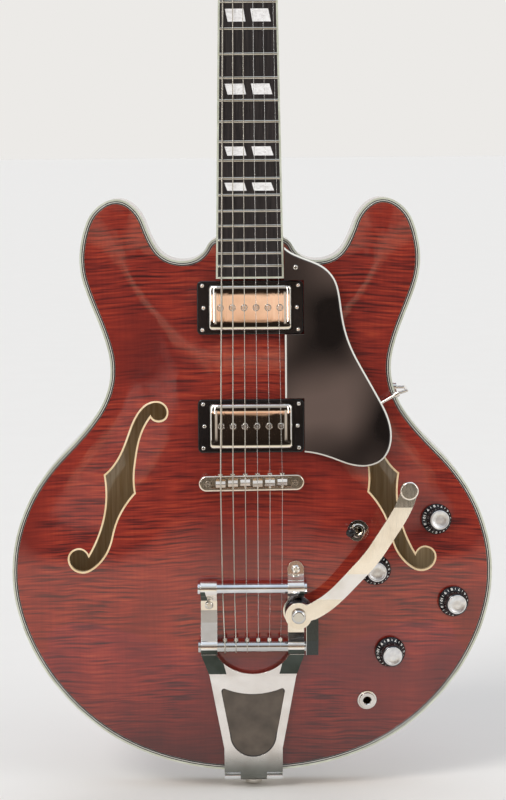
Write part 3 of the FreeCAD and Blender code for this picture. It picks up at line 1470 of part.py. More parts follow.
planHalf = [(0, hingeUp - s.knuckleRadius), (tongueHalf, hingeUp - s.knuckleRadius),
            (tongueHalf, -s.closeFit), (s.plateTaperedHalfWidth, -s.closeFit),
            (s.plateTaperedHalfWidth, s.plateTaperUp), (s.plateHalfWidth, s.plateTopUp),
            (s.bossOuter, s.stringBarUp - s.bossRadius), (s.bossOuter, s.stringBarUp),
            (0, s.stringBarUp)]
planHalf = [Vector(across, up, 0) for across, up in planHalf]
planPoints = planHalf + [flipped(point) for point in reversed(planHalf[1:-1])]
planRuns = list(zip(planPoints, planPoints[1:] + planPoints[:1]))
planPrism = prism(laidWire(planRuns), -s.rimDepth, 2 * s.stringOut)
crescent = rod(at(0, s.crescentUp, -s.rimDepth), at(0, s.crescentUp, 2 * s.stringOut), s.crescentRadius)
platePiece = sideSlab(plateSide, -s.bodyLength / 4, s.bodyLength / 4).common(planPrism).cut(crescent)
recessRunShares = [
    [(-0.8, 0.386), (0, 0.159), (0.8, 0.386)], [(0.8, 0.386), (1.08, 0.832)],
    [(1.08, 0.832), (1.06, 0.862), (0.98, 0.872)], [(0.98, 0.872), (0, 0.814), (-0.98, 0.872)],
    [(-0.98, 0.872), (-1.06, 0.862), (-1.08, 0.832)], [(-1.08, 0.832), (-0.8, 0.386)],
]
recessRuns = [[Vector(across * s.plateTaperedHalfWidth, up * s.plateTopUp, 0) for across, up in shares]
              for shares in recessRunShares]
recessTool = prism(laidWire(recessRuns), 0, 2 * s.stringOut)
lowered = sideSlab(plateSide, -s.bodyLength / 4, s.bodyLength / 4)
lowered.translate(inward * s.recessDepth)
recessTool = recessTool.cut(lowered)
bosses = [boss(up, out, side) for up, out in ((s.tensionBarUp, s.tensionBarOut),
          (s.stringBarUp, s.stringBarOut)) for side in (-1, 1)]
bearingRadius = s.barRadius + s.shaftClearance + s.bearingWall
bores = []
for up, out in ((s.tensionBarUp, s.tensionBarOut), (s.stringBarUp, s.stringBarOut)):
    bores.append(rod(at(-s.bodyLength / 4, up, out), at(s.bodyLength / 4, up, out), bearingRadius))
hingeLine = (at(-s.bodyLength / 4, hingeUp, hingeOut), at(s.bodyLength / 4, hingeUp, hingeOut))
tongue = rod(at(-tongueHalf, hingeUp, hingeOut), at(tongueHalf, hingeUp, hingeOut), s.knuckleRadius)
tongueWeb = sideSlab(tongueSide, -tongueHalf, tongueHalf)
frameParts = [leftRail, rightRail, platePiece, springCup, tongue, tongueWeb] + bosses
pinHole = rod(*hingeLine, s.hingePinRadius + s.closeFit)
frameShape = fused(frameParts).cut(bores + [recessTool, pinHole])
frameSpace = spaceAboveTop(-2 * s.bossOuter, 2 * s.bossOuter, s.archGrid,
                           s.tensionBarUp + 2 * s.railFootLength)
buttSpace = boxAt(0, 0, -s.rimDepth, s.lowerBoutWidth, 2 * s.archGrid, 2 * s.rimDepth)
buttSpace = buttSpace.cut(prism(bodyWire(), s.closeFit + s.topArch / 90, -s.rimDepth))
frameShape = frameShape.common(frameSpace.fuse(buttSpace))
keep(feature("vibrato_frame", frameShape.cut(railBores)))

bearings = []
for up, out in ((s.tensionBarUp, s.tensionBarOut), (s.stringBarUp, s.stringBarOut)):
    for side in (-1, 1):
        ends = (at(side * s.bossInner, up, out), at(side * s.bossOuter, up, out))
        sleeve = rod(*ends, bearingRadius).cut(rod(*ends, s.barRadius + s.shaftClearance))
        bearings.append(sleeve)
keep(group("vibrato_bearings", bearings))

capSeat = s.bossOuter + s.armClearance
tensionEnds = (at(-capSeat, s.tensionBarUp, s.tensionBarOut), at(capSeat, s.tensionBarUp, s.tensionBarOut))
roller = rod(*tensionEnds, s.barRadius)
caps = []
for side in (-1, 1):
    start = at(side * capSeat, s.tensionBarUp, s.tensionBarOut)
    end = start + sideward * side * s.barCapLength
    caps.append(rod(start, end, s.barRadius * 1.12))
keep(feature("tension_bar", fused([roller] + caps)))

# String bar: it rocks in its bearings and carries the string pins, the arm's bracket and pivot.
barLeft = at(-capSeat, s.stringBarUp, s.stringBarOut)
bracketX = capSeat + s.barCapLength / 2
barRight = at(bracketX + s.bracketWidth, s.stringBarUp, s.stringBarOut)
stringBar = rod(barLeft, barRight, s.barRadius)
barCap = rod(barLeft - sideward * s.barCapLength, barLeft, s.barRadius * 1.12)
pins = []
pinOut = s.stringBarOut + s.barRadius * 0.25
for index in range(6):
    x = stringShare(index) * s.barSpread
    pins.append(rod(at(x, s.stringBarUp, pinOut), at(x, s.stringBarUp + s.barRadius + s.pinRise, pinOut),
                    s.pinRadius))
discBottom = s.pivotDiscOut - s.pivotDiscThickness
bracketSide = [
    (s.stringBarUp - s.bossRadius, s.stringBarOut - s.barRadius),
    (s.stringBarUp - s.bossRadius, s.stringBarOut + s.barRadius),
    (s.stringBarUp + s.bossRadius, s.pivotDiscOut), (s.pivotUp, s.pivotDiscOut), (s.pivotUp, discBottom),
    (s.stringBarUp + 1.6 * s.bossRadius, discBottom),
    (s.stringBarUp + s.bossRadius, s.stringBarOut - s.barRadius),
]
bracketBlock = sideSlab(bracketSide, bracketX, bracketX + s.bracketWidth)
disc = rod(at(s.pivotAcross, s.pivotUp, discBottom), at(s.pivotAcross, s.pivotUp, s.pivotDiscOut),
           s.pivotDiscRadius)
bracketEnd = bracketX + s.bracketWidth
bridgePlate = boxAt((s.pivotAcross + bracketEnd) / 2, s.pivotUp - s.bracketWidth / 4, discBottom,
                    bracketEnd - s.pivotAcross, s.bracketWidth, s.pivotDiscThickness)
armSeat = s.pivotDiscOut + s.armClearance
armTop = armSeat + s.armThickness
pivot = rod(at(s.pivotAcross, s.pivotUp, s.pivotDiscOut),
            at(s.pivotAcross, s.pivotUp, armTop + s.armClearance), s.pivotRadius)
pivotNut = rod(at(s.pivotAcross, s.pivotUp, armTop + s.armClearance),
               at(s.pivotAcross, s.pivotUp, armTop + s.armClearance + 2 * s.pivotRadius), 2 * s.pivotRadius)
nutEdge = [e for e in pivotNut.Edges if e.CenterOfMass.y < frontY - armTop - s.pivotRadius]
pivotNut = pivotNut.makeFillet(s.pivotRadius * 0.7, nutEdge)
keep(feature("vibrato_string_bar",
             fused([stringBar, barCap, bracketBlock, bridgePlate, disc, pivot, pivotNut] + pins)))

# Arm: a flat bar round the pivot that climbs away from the top and ends in a rounded grip.
armLineShares = [(0, 0), (0.12, 0.035), (0.31, 0.16), (0.46, 0.31), (0.62, 0.48), (0.745, 0.655),
                 (0.86, 0.83), (0.93, 1.0)]
armReach = s.pivotUp - s.stringBarUp
armSpan = 4 * armReach
armLine = [Vector(s.pivotAcross + across * armSpan * 0.87, s.pivotUp + along * armSpan * 0.93, 0)
           for across, along in armLineShares]
armHeadings = smoothHeadings(armLine)
armEdgeLeft = []
armEdgeRight = []
for place, (point, heading) in enumerate(zip(armLine, armHeadings)):
    normal = Vector(-heading.y, heading.x, 0)
    half = s.armWidth / 2
    armEdgeLeft.append(point + normal * half)
    armEdgeRight.append(point - normal * half)
leftArcs = arcRun(armEdgeLeft[1:])
rightArcs = arcRun(list(reversed(armEdgeRight[1:])))
armRuns = leftArcs + [(leftArcs[-1][2], rightArcs[0][0])] + rightArcs
armRuns.append((rightArcs[-1][2], armLine[0] - Vector(0, s.armWidth / 2, 0)))
armRuns.append((armLine[0] - Vector(0, s.armWidth / 2, 0), armLine[0] + Vector(0, s.armWidth / 2, 0)))
armRuns.append((armLine[0] + Vector(0, s.armWidth / 2, 0), leftArcs[0][0]))
armPlan = prism(laidWire(armRuns), 0, 3 * s.stringOut)
gripUp = armLine[-1].y
gripX = armLine[-1].x
riseStart = s.pivotUp + s.armWidth
riseEnd = gripUp - s.armWidth
armSideLow = [(s.pivotUp - 2 * s.armWidth, armSeat), (riseStart, armSeat),
              (riseStart + 1.6 * s.armWidth, armSeat + s.armRise * 0.7),
              (riseEnd, armSeat + s.armRise), (gripUp + 2 * s.armWidth, armSeat + s.armRise)]
armSideHigh = [(up, out + s.armThickness) for up, out in reversed(armSideLow)]
armBand = sideSlab(armSideLow + armSideHigh, 0, s.bodyLength / 2)
hub = rod(at(s.pivotAcross, s.pivotUp, armSeat), at(s.pivotAcross, s.pivotUp, armTop), s.pivotDiscRadius)
gripOut = armSeat + s.armRise
grip = rod(at(gripX, gripUp, gripOut), at(gripX, gripUp, gripOut + s.armThickness * 1.6),
           s.armGripRadius * 1.1)
gripRim = [e for e in grip.Edges if e.CenterOfMass.y < frontY - armSeat - s.armRise - s.armThickness]
grip = grip.makeFillet(s.armThickness / 2, gripRim)
armHole = rod(at(s.pivotAcross, s.pivotUp, 0), at(s.pivotAcross, s.pivotUp, 3 * s.stringOut),
              s.pivotRadius + s.shaftClearance)
armShape = fused([armPlan.common(armBand), hub, grip]).cut(armHole)
keep(feature("vibrato_arm", armShape))

# Spring: one unbroken coil between the cup and the disc, in quarter turns of two arcs each.
springBottom = cupOut + s.springWire + s.closeFit
springTall = discBottom - s.springWire - s.closeFit - springBottom
quarters = int(s.springTurns * 4)
quarterTurn = math.pi / 2


def coilPoint(step):
    turn = step * quarterTurn
    out = springBottom + springTall * step / quarters
    return at(s.pivotAcross + s.springRadius * math.cos(turn), s.pivotUp + s.springRadius * math.sin(turn), out)


def coilHeading(step):
    turn = step * quarterTurn
    run = s.springRadius * quarterTurn
    return Vector(-run * math.sin(turn), -springTall / quarters, run * math.cos(turn)).normalize()


coilEdges = []
for step in range(quarters):
    pair = arcPair(coilPoint(step), coilHeading(step), coilPoint(step + 1), coilHeading(step + 1))
    coilEdges += [Part.Arc(*arc).toShape() for arc in pair]
coilWire = Part.Wire(coilEdges)
wireRound = Part.Wire([Part.makeCircle(s.springWire, coilPoint(0), coilHeading(0))])
keep(feature("vibrato_spring", coilWire.makePipeShell([wireRound], True, False)))
coilPoints = coilWire.discretize(quarters * 12)
apart = []
for index, point in enumerate(coilPoints):
    apart += [(other - point).Length for other in coilPoints[index + 24:]]
print(f"spring: {s.springTurns} turns, least gap to itself {min(apart) - 2 * s.springWire:.2f} mm")

# Hinge: a plate on the butt with two knuckles and the pin through the frame's tongue.
hingePlate = Part.makeBox(s.hingePlateWidth, s.hingePlateDepth, s.hingePlateThickness,
                          Vector(-s.hingePlateWidth / 2, frontY - hingeOut - s.knuckleRadius,
                                 buttZ - s.hingePlateThickness))
hingePlate = hingePlate.makeFillet(s.hingePlateThickness * 2,
                                   [e for e in hingePlate.Edges if abs(e.tangentAt(e.FirstParameter).z) > 0.5])
knuckles = []
for side in (-1, 1):
    inner = side * (tongueHalf + s.closeFit)
    outer = side * s.plateTaperedHalfWidth
    knuckles.append(rod(at(inner, hingeUp, hingeOut), at(outer, hingeUp, hingeOut), s.knuckleRadius))
    web = Part.makeBox(abs(outer - inner), s.knuckleRadius, s.knuckleRadius,
                       Vector(min(inner, outer), frontY - hingeOut, buttZ - s.knuckleRadius))
    knuckles.append(web)
hingeShape = fused([hingePlate] + knuckles).cut([pinHole, strapShank] + hingeBores)
hingePin = rod(at(-s.plateTaperedHalfWidth, hingeUp, hingeOut),
               at(s.plateTaperedHalfWidth, hingeUp, hingeOut), s.hingePinRadius)
keep(group("vibrato_hinge", [hingeShape, hingePin]))


# Strap buttons: one through the hinge plate at the butt, one on the back behind the neck joint.
def strapButton():
    base = s.buttonHeight
    head = s.buttonHeadLength
    section = Part.Wire([
        Part.Arc(Vector(0, 0, -s.buttonCrown), Vector(s.buttonHeadRadius / 2, 0, -s.buttonCrown * 0.8),
                 Vector(s.buttonHeadRadius, 0, 0)).toShape(),
        Part.makeLine(Vector(s.buttonHeadRadius, 0, 0), Vector(s.buttonHeadRadius, 0, head)),
        Part.Arc(Vector(s.buttonHeadRadius, 0, head), Vector(s.buttonWaistRadius, 0, base * 0.55),
                 Vector(s.buttonBaseRadius, 0, base)).toShape(),
        Part.makeLine(Vector(s.buttonBaseRadius, 0, base), Vector(0, 0, base)),
        Part.makeLine(Vector(0, 0, base), Vector(0, 0, -s.buttonCrown)),
    ])
    shape = Part.Face(section).revolve(Vector(0, 0, 0), Vector(0, 0, 1), 360)
    felt = Part.makeCylinder(s.buttonBaseRadius * 1.15, s.feltThickness, Vector(0, 0, base))
    return [shape.fuse(strapShank), felt.cut(strapShank)]


tailButton = strapButton()
upperButton = strapButton()
for piece in upperButton:
    piece.Placement = upperPlace
keep(group("strap_buttons", tailButton + upperButton))

# Strings: from the pins round the string bar, under the tension bar, over the saddles and the
# nut and on to the posts.
strings = []
ballUp = s.stringBarUp + s.barRadius + s.pinRise / 2
for index in range(6):
    radius = stringRadii[index]
    across = stringShare(index) * s.barSpread
    between = stringShare(index) * (s.barSpread + 2 * s.stringSpread) / 3
    wrap = s.barRadius + radius + 2 * s.closeFit
    centre = at(across, s.stringBarUp, s.stringBarOut)
    top = centre + outward * wrap
    bottom = centre + inward * wrap
    end = at(across, ballUp, pinOut - s.ballRadius)
    toEnd = end - centre
    swing = math.atan2(toEnd.z, toEnd.y) - math.acos(wrap / toEnd.Length)
    leave = centre + Vector(0, math.cos(swing), math.sin(swing)) * wrap
    swing /= 2
    halfway = centre + Vector(0, math.cos(swing), math.sin(swing)) * wrap
    loop = [Part.Arc(top, centre - upward * wrap, bottom).toShape(),
            Part.Arc(bottom, halfway, leave).toShape()]
    section = Part.Wire([Part.makeCircle(radius, top, upward)])
    turnShape = Part.Wire(loop).makePipeShell([section], True, False)
    ballEnds = (at(across, ballUp - s.pinRise * 0.4, pinOut), at(across, ballUp + s.pinRise * 0.4, pinOut))
    ball = rod(*ballEnds, s.ballRadius).cut(rod(*ballEnds, s.pinRadius + s.closeFit))
    under = at(between, s.tensionBarUp, s.tensionBarOut - wrap - s.closeFit)
    saddle = saddlePlaces[index]
    overNut = neckPlace.multVec(nutSpot(index))
    nutBack = neckPlace.multVec(nutSpot(index) + upward * s.nutThickness)
    side, edge, postAcross, along = tuners[index]
    postSide = side * (postAcross - s.postWaistRadius - radius - 8 * s.closeFit)
    postOut = -s.veneerThickness - s.bushingRise - s.postRise * 0.2
    post = headPlace.multVec(Vector(postSide, postOut, along))
    path = [top, under, saddle, overNut, nutBack, post]
    runs = [rod(start, finish, radius) for start, finish in zip(path, path[1:])]
    runs.append(rod(leave, end, radius))
    strings.append(fused(runs + [turnShape, ball]))
keep(group("strings", strings))
keep(group("screws", screws))

doc.recompute()
for item in doc.Objects:
    faults = [state for state in item.State if state in ("Invalid", "Error")]
    if faults:
        raise RuntimeError(f"{item.Label} did not rebuild: {faults}")
for item in subParts:
    if item.Shape.isNull() or not item.Shape.isValid():
        raise RuntimeError(f"{item.Label} has no sound shape")

os.makedirs("parts", exist_ok=True)
for item in subParts:
    item.Shape.exportStep(f"parts/{item.Label}.step")
print(f"{len(subParts)} sub-parts written")
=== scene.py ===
import json
import math

import bpy
from mathutils import Matrix, Vector


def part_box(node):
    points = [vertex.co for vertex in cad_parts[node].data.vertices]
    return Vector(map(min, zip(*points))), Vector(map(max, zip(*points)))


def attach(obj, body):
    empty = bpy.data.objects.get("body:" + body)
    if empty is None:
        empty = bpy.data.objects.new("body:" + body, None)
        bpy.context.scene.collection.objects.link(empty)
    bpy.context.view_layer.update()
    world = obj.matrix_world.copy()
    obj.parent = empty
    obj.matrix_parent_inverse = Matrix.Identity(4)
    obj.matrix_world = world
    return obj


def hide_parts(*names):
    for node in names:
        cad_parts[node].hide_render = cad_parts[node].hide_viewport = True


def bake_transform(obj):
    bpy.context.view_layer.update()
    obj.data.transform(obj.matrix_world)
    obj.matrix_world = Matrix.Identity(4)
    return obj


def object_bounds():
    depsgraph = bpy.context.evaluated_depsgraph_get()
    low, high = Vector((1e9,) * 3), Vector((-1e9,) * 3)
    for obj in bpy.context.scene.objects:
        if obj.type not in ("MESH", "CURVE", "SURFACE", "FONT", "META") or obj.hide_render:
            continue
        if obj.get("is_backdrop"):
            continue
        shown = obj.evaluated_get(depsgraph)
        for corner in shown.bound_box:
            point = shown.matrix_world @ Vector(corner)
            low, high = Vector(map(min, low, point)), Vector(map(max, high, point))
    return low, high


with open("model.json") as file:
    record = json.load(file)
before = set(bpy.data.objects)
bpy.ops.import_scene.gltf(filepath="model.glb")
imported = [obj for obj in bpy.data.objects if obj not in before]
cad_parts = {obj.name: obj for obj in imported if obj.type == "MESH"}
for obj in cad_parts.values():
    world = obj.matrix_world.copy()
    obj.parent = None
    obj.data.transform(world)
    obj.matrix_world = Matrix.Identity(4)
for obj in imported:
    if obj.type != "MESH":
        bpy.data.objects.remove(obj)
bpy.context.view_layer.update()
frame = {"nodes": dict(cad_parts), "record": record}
nodes = frame["nodes"]
joints = {joint["name"]: joint for joint in frame["record"]["behaviour"]["joints"]}
print("frame loaded:", len(nodes), "nodes")

mm = 0.001
ahead = 0.1      # metres in front of or beside the guitar, where a ray towards a piece starts


# Colours are written as sRGB hex and turned to linear here.
def toLinear(colour):
    values = [int(colour[place:place + 2], 16) / 255 for place in (1, 3, 5)]
    return [v / 12.92 if v <= 0.04045 else ((v + 0.055) / 1.055) ** 2.4 for v in values] + [1]


# Adds a node. Settings go on the node itself, and a word alone is its operation. Inputs take a
# number, a hex colour, a socket or a node, whose first output is then used. "stops" are the
# colours of a ramp: its first, its last, then those between. A colour Mix takes its share at 0
# and its colours at 6 and 7, and gives the result at output 2.
def addNode(tree, kind, settings=None, inputs=None):
    node = tree.nodes.new("ShaderNode" + kind)
    settings = {"operation": settings} if isinstance(settings, str) else settings or {}
    for name, value in settings.items():
        if name == "stops":
            stops = node.color_ramp.elements
            for place, (position, colour) in enumerate(value):
                stop = stops[place] if place < 2 else stops.new(position)
                stop.position, stop.color = position, toLinear(colour)
        else:
            setattr(node, name, value)
    pairs = enumerate(inputs) if isinstance(inputs, (list, tuple)) else (inputs or {}).items()
    for name, value in pairs:
        if isinstance(value, bpy.types.Node):
            tree.links.new(value.outputs[0], node.inputs[name])
        elif isinstance(value, bpy.types.NodeSocket):
            tree.links.new(value, node.inputs[name])
        else:
            node.inputs[name].default_value = toLinear(value) if isinstance(value, str) else value
    return node


def startMaterial(name):
    material = bpy.data.materials.new(name)
    material.use_nodes = True
    material.node_tree.nodes.clear()
    return material, material.node_tree


def finishMaterial(material, inputs):
    tree = material.node_tree
    addNode(tree, "OutputMaterial", inputs={"Surface": addNode(tree, "BsdfPrincipled", inputs=inputs)})
    return material


# Place on the piece in millimetres, each direction divided by the size of the pattern along it.
def patternPlace(tree, across, depth=None, up=None):
    sizes = [across, depth or across, up or across]
    place = addNode(tree, "TexCoord").outputs["Object"]
    return addNode(tree, "VectorMath", "MULTIPLY", [place, [1000 / size for size in sizes]])


# The same place in millimetres as three numbers: across, depth and up.
def directions(tree):
    return addNode(tree, "SeparateXYZ", inputs=[patternPlace(tree, 1)]).outputs.values()


# Colour that drifts through the stops of a ramp, in clouds of a size in millimetres.
def cloudedColour(tree, stops, size, detail=2.0):
    cloud = addNode(tree, "TexNoise", inputs={"Vector": patternPlace(tree, size), "Scale": 1.0,
                                              "Detail": detail})
    return addNode(tree, "ValToRGB", {"stops": stops}, [cloud])


# Fine lines that a polishing wheel or cloth leaves, and the roughness that they give. Their
# spacing and length are in millimetres.
def wheelMarks(tree, sizes, smoothest, roughest):
    strokes = addNode(tree, "TexNoise", inputs={"Vector": patternPlace(tree, *sizes), "Scale": 1.0})
    return strokes, addNode(tree, "MapRange", inputs={"Value": strokes, "From Min": 0.3, "From Max": 0.7,
                                                      "To Min": smoothest, "To Max": roughest})


# Edges eased to a radius in millimetres, under the relief that a height gives.
def easedRelief(tree, radius, strength, distance, height):
    eased = addNode(tree, "Bevel", {"samples": 4}, {"Radius": radius * mm})
    return addNode(tree, "Bump", inputs={"Strength": strength, "Distance": distance, "Height": height,
                                         "Normal": eased})


# A new object in the scene, and a mesh with one material.
def addObject(name, data):
    thing = bpy.data.objects.new(name, data)
    bpy.context.scene.collection.objects.link(thing)
    return thing


def makeMesh(name, points, faces, material):
    mesh = bpy.data.meshes.new(name)
    mesh.from_pydata([tuple(point) for point in points], [], faces)
    mesh.materials.append(material)
    return mesh


# Flamed maple under a cherry stain and polished clear lacquer. The stain gathers in the soft
# bands of the flame, and the lacquer lies over them like glass.
maple = {
    "stain": [(0.1, "#3A0D0B"), (1.0, "#C4522D"), (0.3, "#5C1612"), (0.43, "#7C2015"), (0.6, "#932B1A"),
              (0.8, "#A53B21")],
    "level": 0.3,              # where the stain is read before the flame moves it
    "broad": (0.017, 0.42),    # broad areas: their number for each mm, and how far they move that level
    "flameSpacing": 2.0,       # mm from band to band
    "flameLength": 38.0,       # mm along one band
    "wander": 7.0,             # mm that a band drifts up and down
    "slant": 0.04,             # fall of a band on its way from the middle to the rim
    "patch": 75.0,             # mm across a patch of stronger or weaker flame
    "contrast": [(0.38, 0.62), (0.55, 1.5)],       # a patch's range, and what it makes of the flame
    "tint": [(0.34, "#DAC8C8"), (0.66, "#FFFFFF"), (0.5, "#FBF1EC")],
    # Painted shade: every stained maple is multiplied darker towards the bottom of the body, below the range
    # in mm up that follows.
    "butt": [(0.0, "#978C8E"), (1.0, "#FFFFFF")], "buttRange": (10, 115),      # mm up, darker below
    "grainSpacing": 2.1, "grainLength": 60.0,      # mm, drawn wider than real grain so that it shows
    "grain": [(0.35, "#D9CCC8"), (0.62, "#FFFFFF")], "grainShare": 0.3,
    "bare": [(0.3, "#DDBB85"), (0.65, "#FBE3B8")],
    "waves": 33,               # mm from wave to wave of the lacquer
}


def flamedMaple(name, bandsAlong="Z", bareSide=0, strength=1.0, tone=None):
    material, tree = startMaterial(name)
    across, depth, up = directions(tree)
    mirrored = addNode(tree, "Math", "ABSOLUTE", [across])      # book-matched halves
    run, cross = up, mirrored
    if bandsAlong == "Y":
        run, cross = addNode(tree, "Math", "ADD", [up, across]), depth
    broadScale, broadShare = maple["broad"]
    sheet = addNode(tree, "CombineXYZ", inputs=[mirrored, up])
    broad = addNode(tree, "TexNoise", inputs={"Vector": sheet, "Scale": broadScale})
    drift = addNode(tree, "Math", "MULTIPLY_ADD", [broad, maple["wander"], run])
    bands = addNode(tree, "Math", "MULTIPLY_ADD", [cross, maple["slant"], drift])
    flamePlace = addNode(tree, "VectorMath", "DIVIDE", [
        addNode(tree, "CombineXYZ", inputs=[cross, bands]), [maple["flameLength"], maple["flameSpacing"], 1]])
    flame = addNode(tree, "TexNoise", inputs={"Vector": flamePlace, "Scale": 1.0, "Distortion": 0.1})
    patches = addNode(tree, "TexNoise", inputs={"Vector": patternPlace(tree, maple["patch"]),
                                                "Scale": 1.0, "Detail": 0.5})
    (low, high), (weakest, strongest) = maple["contrast"]
    contrast = addNode(tree, "MapRange", inputs={"Value": patches, "From Min": low, "From Max": high,
                                                 "To Min": weakest * strength,
                                                 "To Max": strongest * strength})
    centred = addNode(tree, "Math", "SUBTRACT", [flame, 0.5])
    swing = addNode(tree, "Math", "MULTIPLY_ADD", [centred, contrast, maple["level"]])
    level = addNode(tree, "Math", "MULTIPLY_ADD", [broad, broadShare, swing])
    grainPlace = addNode(tree, "VectorMath", "DIVIDE", [
        addNode(tree, "CombineXYZ", inputs=[cross, run]), [maple["grainSpacing"], maple["grainLength"], 1]])
    grain = addNode(tree, "TexNoise", inputs={"Vector": grainPlace, "Scale": 1.0})
    # Painted shade, darker towards the bottom of the body.
    buttFrom, buttTo = maple["buttRange"]
    height = addNode(tree, "MapRange", inputs={"Value": up, "From Min": buttFrom, "From Max": buttTo})
    colour = addNode(tree, "ValToRGB", {"stops": maple["stain"]}, [level])
    layers = [(maple["grainShare"], addNode(tree, "ValToRGB", {"stops": maple["grain"]}, [grain])),
              (1.0, addNode(tree, "ValToRGB", {"stops": maple["tint"]}, [patches])),
              (1.0, addNode(tree, "ValToRGB", {"stops": maple["butt"]}, [height]))]
    for share, layer in layers + ([(1.0, tone)] if tone else []):
        colour = addNode(tree, "Mix", {"data_type": "RGBA", "blend_type": "MULTIPLY"},
                         {0: share, 6: colour, 7: layer}).outputs[2]
    if bareSide:      # the side towards the chamber has neither stain nor lacquer colour
        pale = addNode(tree, "ValToRGB", {"stops": maple["bare"]}, [grain])
        normal = addNode(tree, "NewGeometry").outputs["Normal"]
        facing = addNode(tree, "SeparateXYZ", inputs=[normal]).outputs[1]
        turned = addNode(tree, "Math", "MULTIPLY", [facing, float(bareSide)])
        inside = addNode(tree, "Math", "GREATER_THAN", [turned, 0.3])
        colour = addNode(tree, "Mix", {"data_type": "RGBA"}, {0: inside, 6: colour, 7: pale}).outputs[2]
    waves = addNode(tree, "TexNoise", inputs={"Vector": patternPlace(tree, maple["waves"]),
                                              "Scale": 1.0, "Detail": 1.0})
    return finishMaterial(material, {
        "Base Color": colour, "Roughness": 0.45, "IOR": 1.5, "Specular IOR Level": 0.25,
        "Coat Weight": 1.0, "Coat Roughness": 0.02, "Coat IOR": 1.62,
        "Coat Normal": addNode(tree, "Bump", inputs={"Strength": 0.2, "Distance": 0.0003, "Height": waves})})


# Bare sawn maple of the centre block: pale, dry and a little fuzzy.
def sawnMaple():
    material, tree = startMaterial("sawnBareMaple")
    grain = addNode(tree, "TexNoise", inputs={"Vector": patternPlace(tree, 1.2, 1.2, 40),
                                              "Scale": 1.0, "Detail": 3.0})
    return finishMaterial(material, {
        "Base Color": addNode(tree, "ValToRGB", {"stops": maple["bare"]}, [grain]), "Roughness": 0.75,
        "Normal": addNode(tree, "Bump", inputs={"Distance": 0.0001, "Height": grain})})


# Ebony board, oiled and rubbed: near black, with fine open pores along the neck. The sizes are
# in mm across, deep and along.
ebony = {"tones": [(0.3, "#151214"), (0.7, "#302928")], "streak": (1.6, 1.6, 45), "pore": (0.35, 0.35, 6)}


def oiledEbony():
    material, tree = startMaterial("oiledEbony")
    streaks, pores = (addNode(tree, "TexNoise", inputs={"Vector": patternPlace(tree, *ebony[name]),
                                                        "Scale": 1.0, "Detail": detail})
                      for name, detail in (("streak", 3.0), ("pore", 1.0)))
    return finishMaterial(material, {
        "Base Color": addNode(tree, "ValToRGB", {"stops": ebony["tones"]}, [streaks]),
        "Roughness": 0.36, "IOR": 1.5,
        "Normal": addNode(tree, "Bump", inputs={"Strength": 0.6, "Distance": 0.00012, "Height": pores})})


# Cellulose or bone, scraped flush and polished: warm, a little cloudy, with light just under its
# skin.
def warmCream(name, deep, pale):
    material, tree = startMaterial(name)
    return finishMaterial(material, {
        "Base Color": cloudedColour(tree, [(0.3, deep), (0.7, pale)], 14),
        "Roughness": 0.32, "Coat Weight": 0.6, "Coat Roughness": 0.05,
        "Subsurface Weight": 0.08, "Subsurface Radius": [0.002, 0.0015, 0.001]})


# Thin strips and lines that lie under a gloss: dyed fibre beside the binding, and a dark line of painted
# shade round the floor of the recess.
def glossyStrip(name, first, second):
    material, tree = startMaterial(name)
    return finishMaterial(material, {
        "Base Color": cloudedColour(tree, [(0.3, first), (0.7, second)], 3),
        "Roughness": 0.4, "Coat Weight": 0.8, "Coat Roughness": 0.04})


# Moulded plastic or sprayed lacquer: an even deep colour, a faint orange peel and eased edges.
def mouldedGloss(name, first, second, roughness):
    material, tree = startMaterial(name)
    peel = addNode(tree, "TexNoise", inputs={"Vector": patternPlace(tree, 0.9), "Scale": 1.0, "Detail": 1.0})
    return finishMaterial(material, {
        "Base Color": cloudedColour(tree, [(0.3, first), (0.8, second)], 25),
        "Roughness": roughness, "IOR": 1.5, "Normal": easedRelief(tree, 0.4, 0.4, 0.00002, peel)})


# Sheet of three vinyl plies, black on white on black. The polished bevel lays the white one bare.
# The front's level, the white ply's depths below it and the sizes of the patterns are in mm.
guard = {"front": -42.75, "white": (0.75, 2.1), "whiteTone": "#E9E6DC",
         "black": [(0.38, "#1C1715"), (0.7, "#64544D")], "cloud": 58, "scuff": (3, 3, 0.5), "waves": 50}


def pliedVinyl():
    material, tree = startMaterial("polishedThreePlyVinyl")
    depth = directions(tree)[1]
    below = addNode(tree, "Math", "SUBTRACT", [depth, guard["front"]])
    white = addNode(tree, "Math", "MULTIPLY", [
        addNode(tree, "Math", "GREATER_THAN", [below, guard["white"][0]]),
        addNode(tree, "Math", "LESS_THAN", [below, guard["white"][1]])])
    # The black is clouded towards a brown grey in broad patches: a painted blurred reflection.
    black = cloudedColour(tree, guard["black"], guard["cloud"], 0.5)
    scuffs = addNode(tree, "TexNoise", inputs={"Vector": patternPlace(tree, *guard["scuff"]),
                                               "Scale": 1.0, "Detail": 3.0})
    rough = addNode(tree, "MapRange", inputs={"Value": scuffs, "From Min": 0.45, "From Max": 0.8,
                                              "To Min": 0.07, "To Max": 0.16})
    waves = addNode(tree, "TexNoise", inputs={"Vector": patternPlace(tree, guard["waves"]),
                                              "Scale": 1.0, "Detail": 1.0})
    return finishMaterial(material, {
        "Base Color": addNode(tree, "Mix", {"data_type": "RGBA"},
                              {0: white, 6: black, 7: guard["whiteTone"]}).outputs[2],
        "Roughness": rough, "IOR": 1.52,
        "Normal": addNode(tree, "Bump", inputs={"Strength": 0.3, "Distance": 0.0006, "Height": waves})})


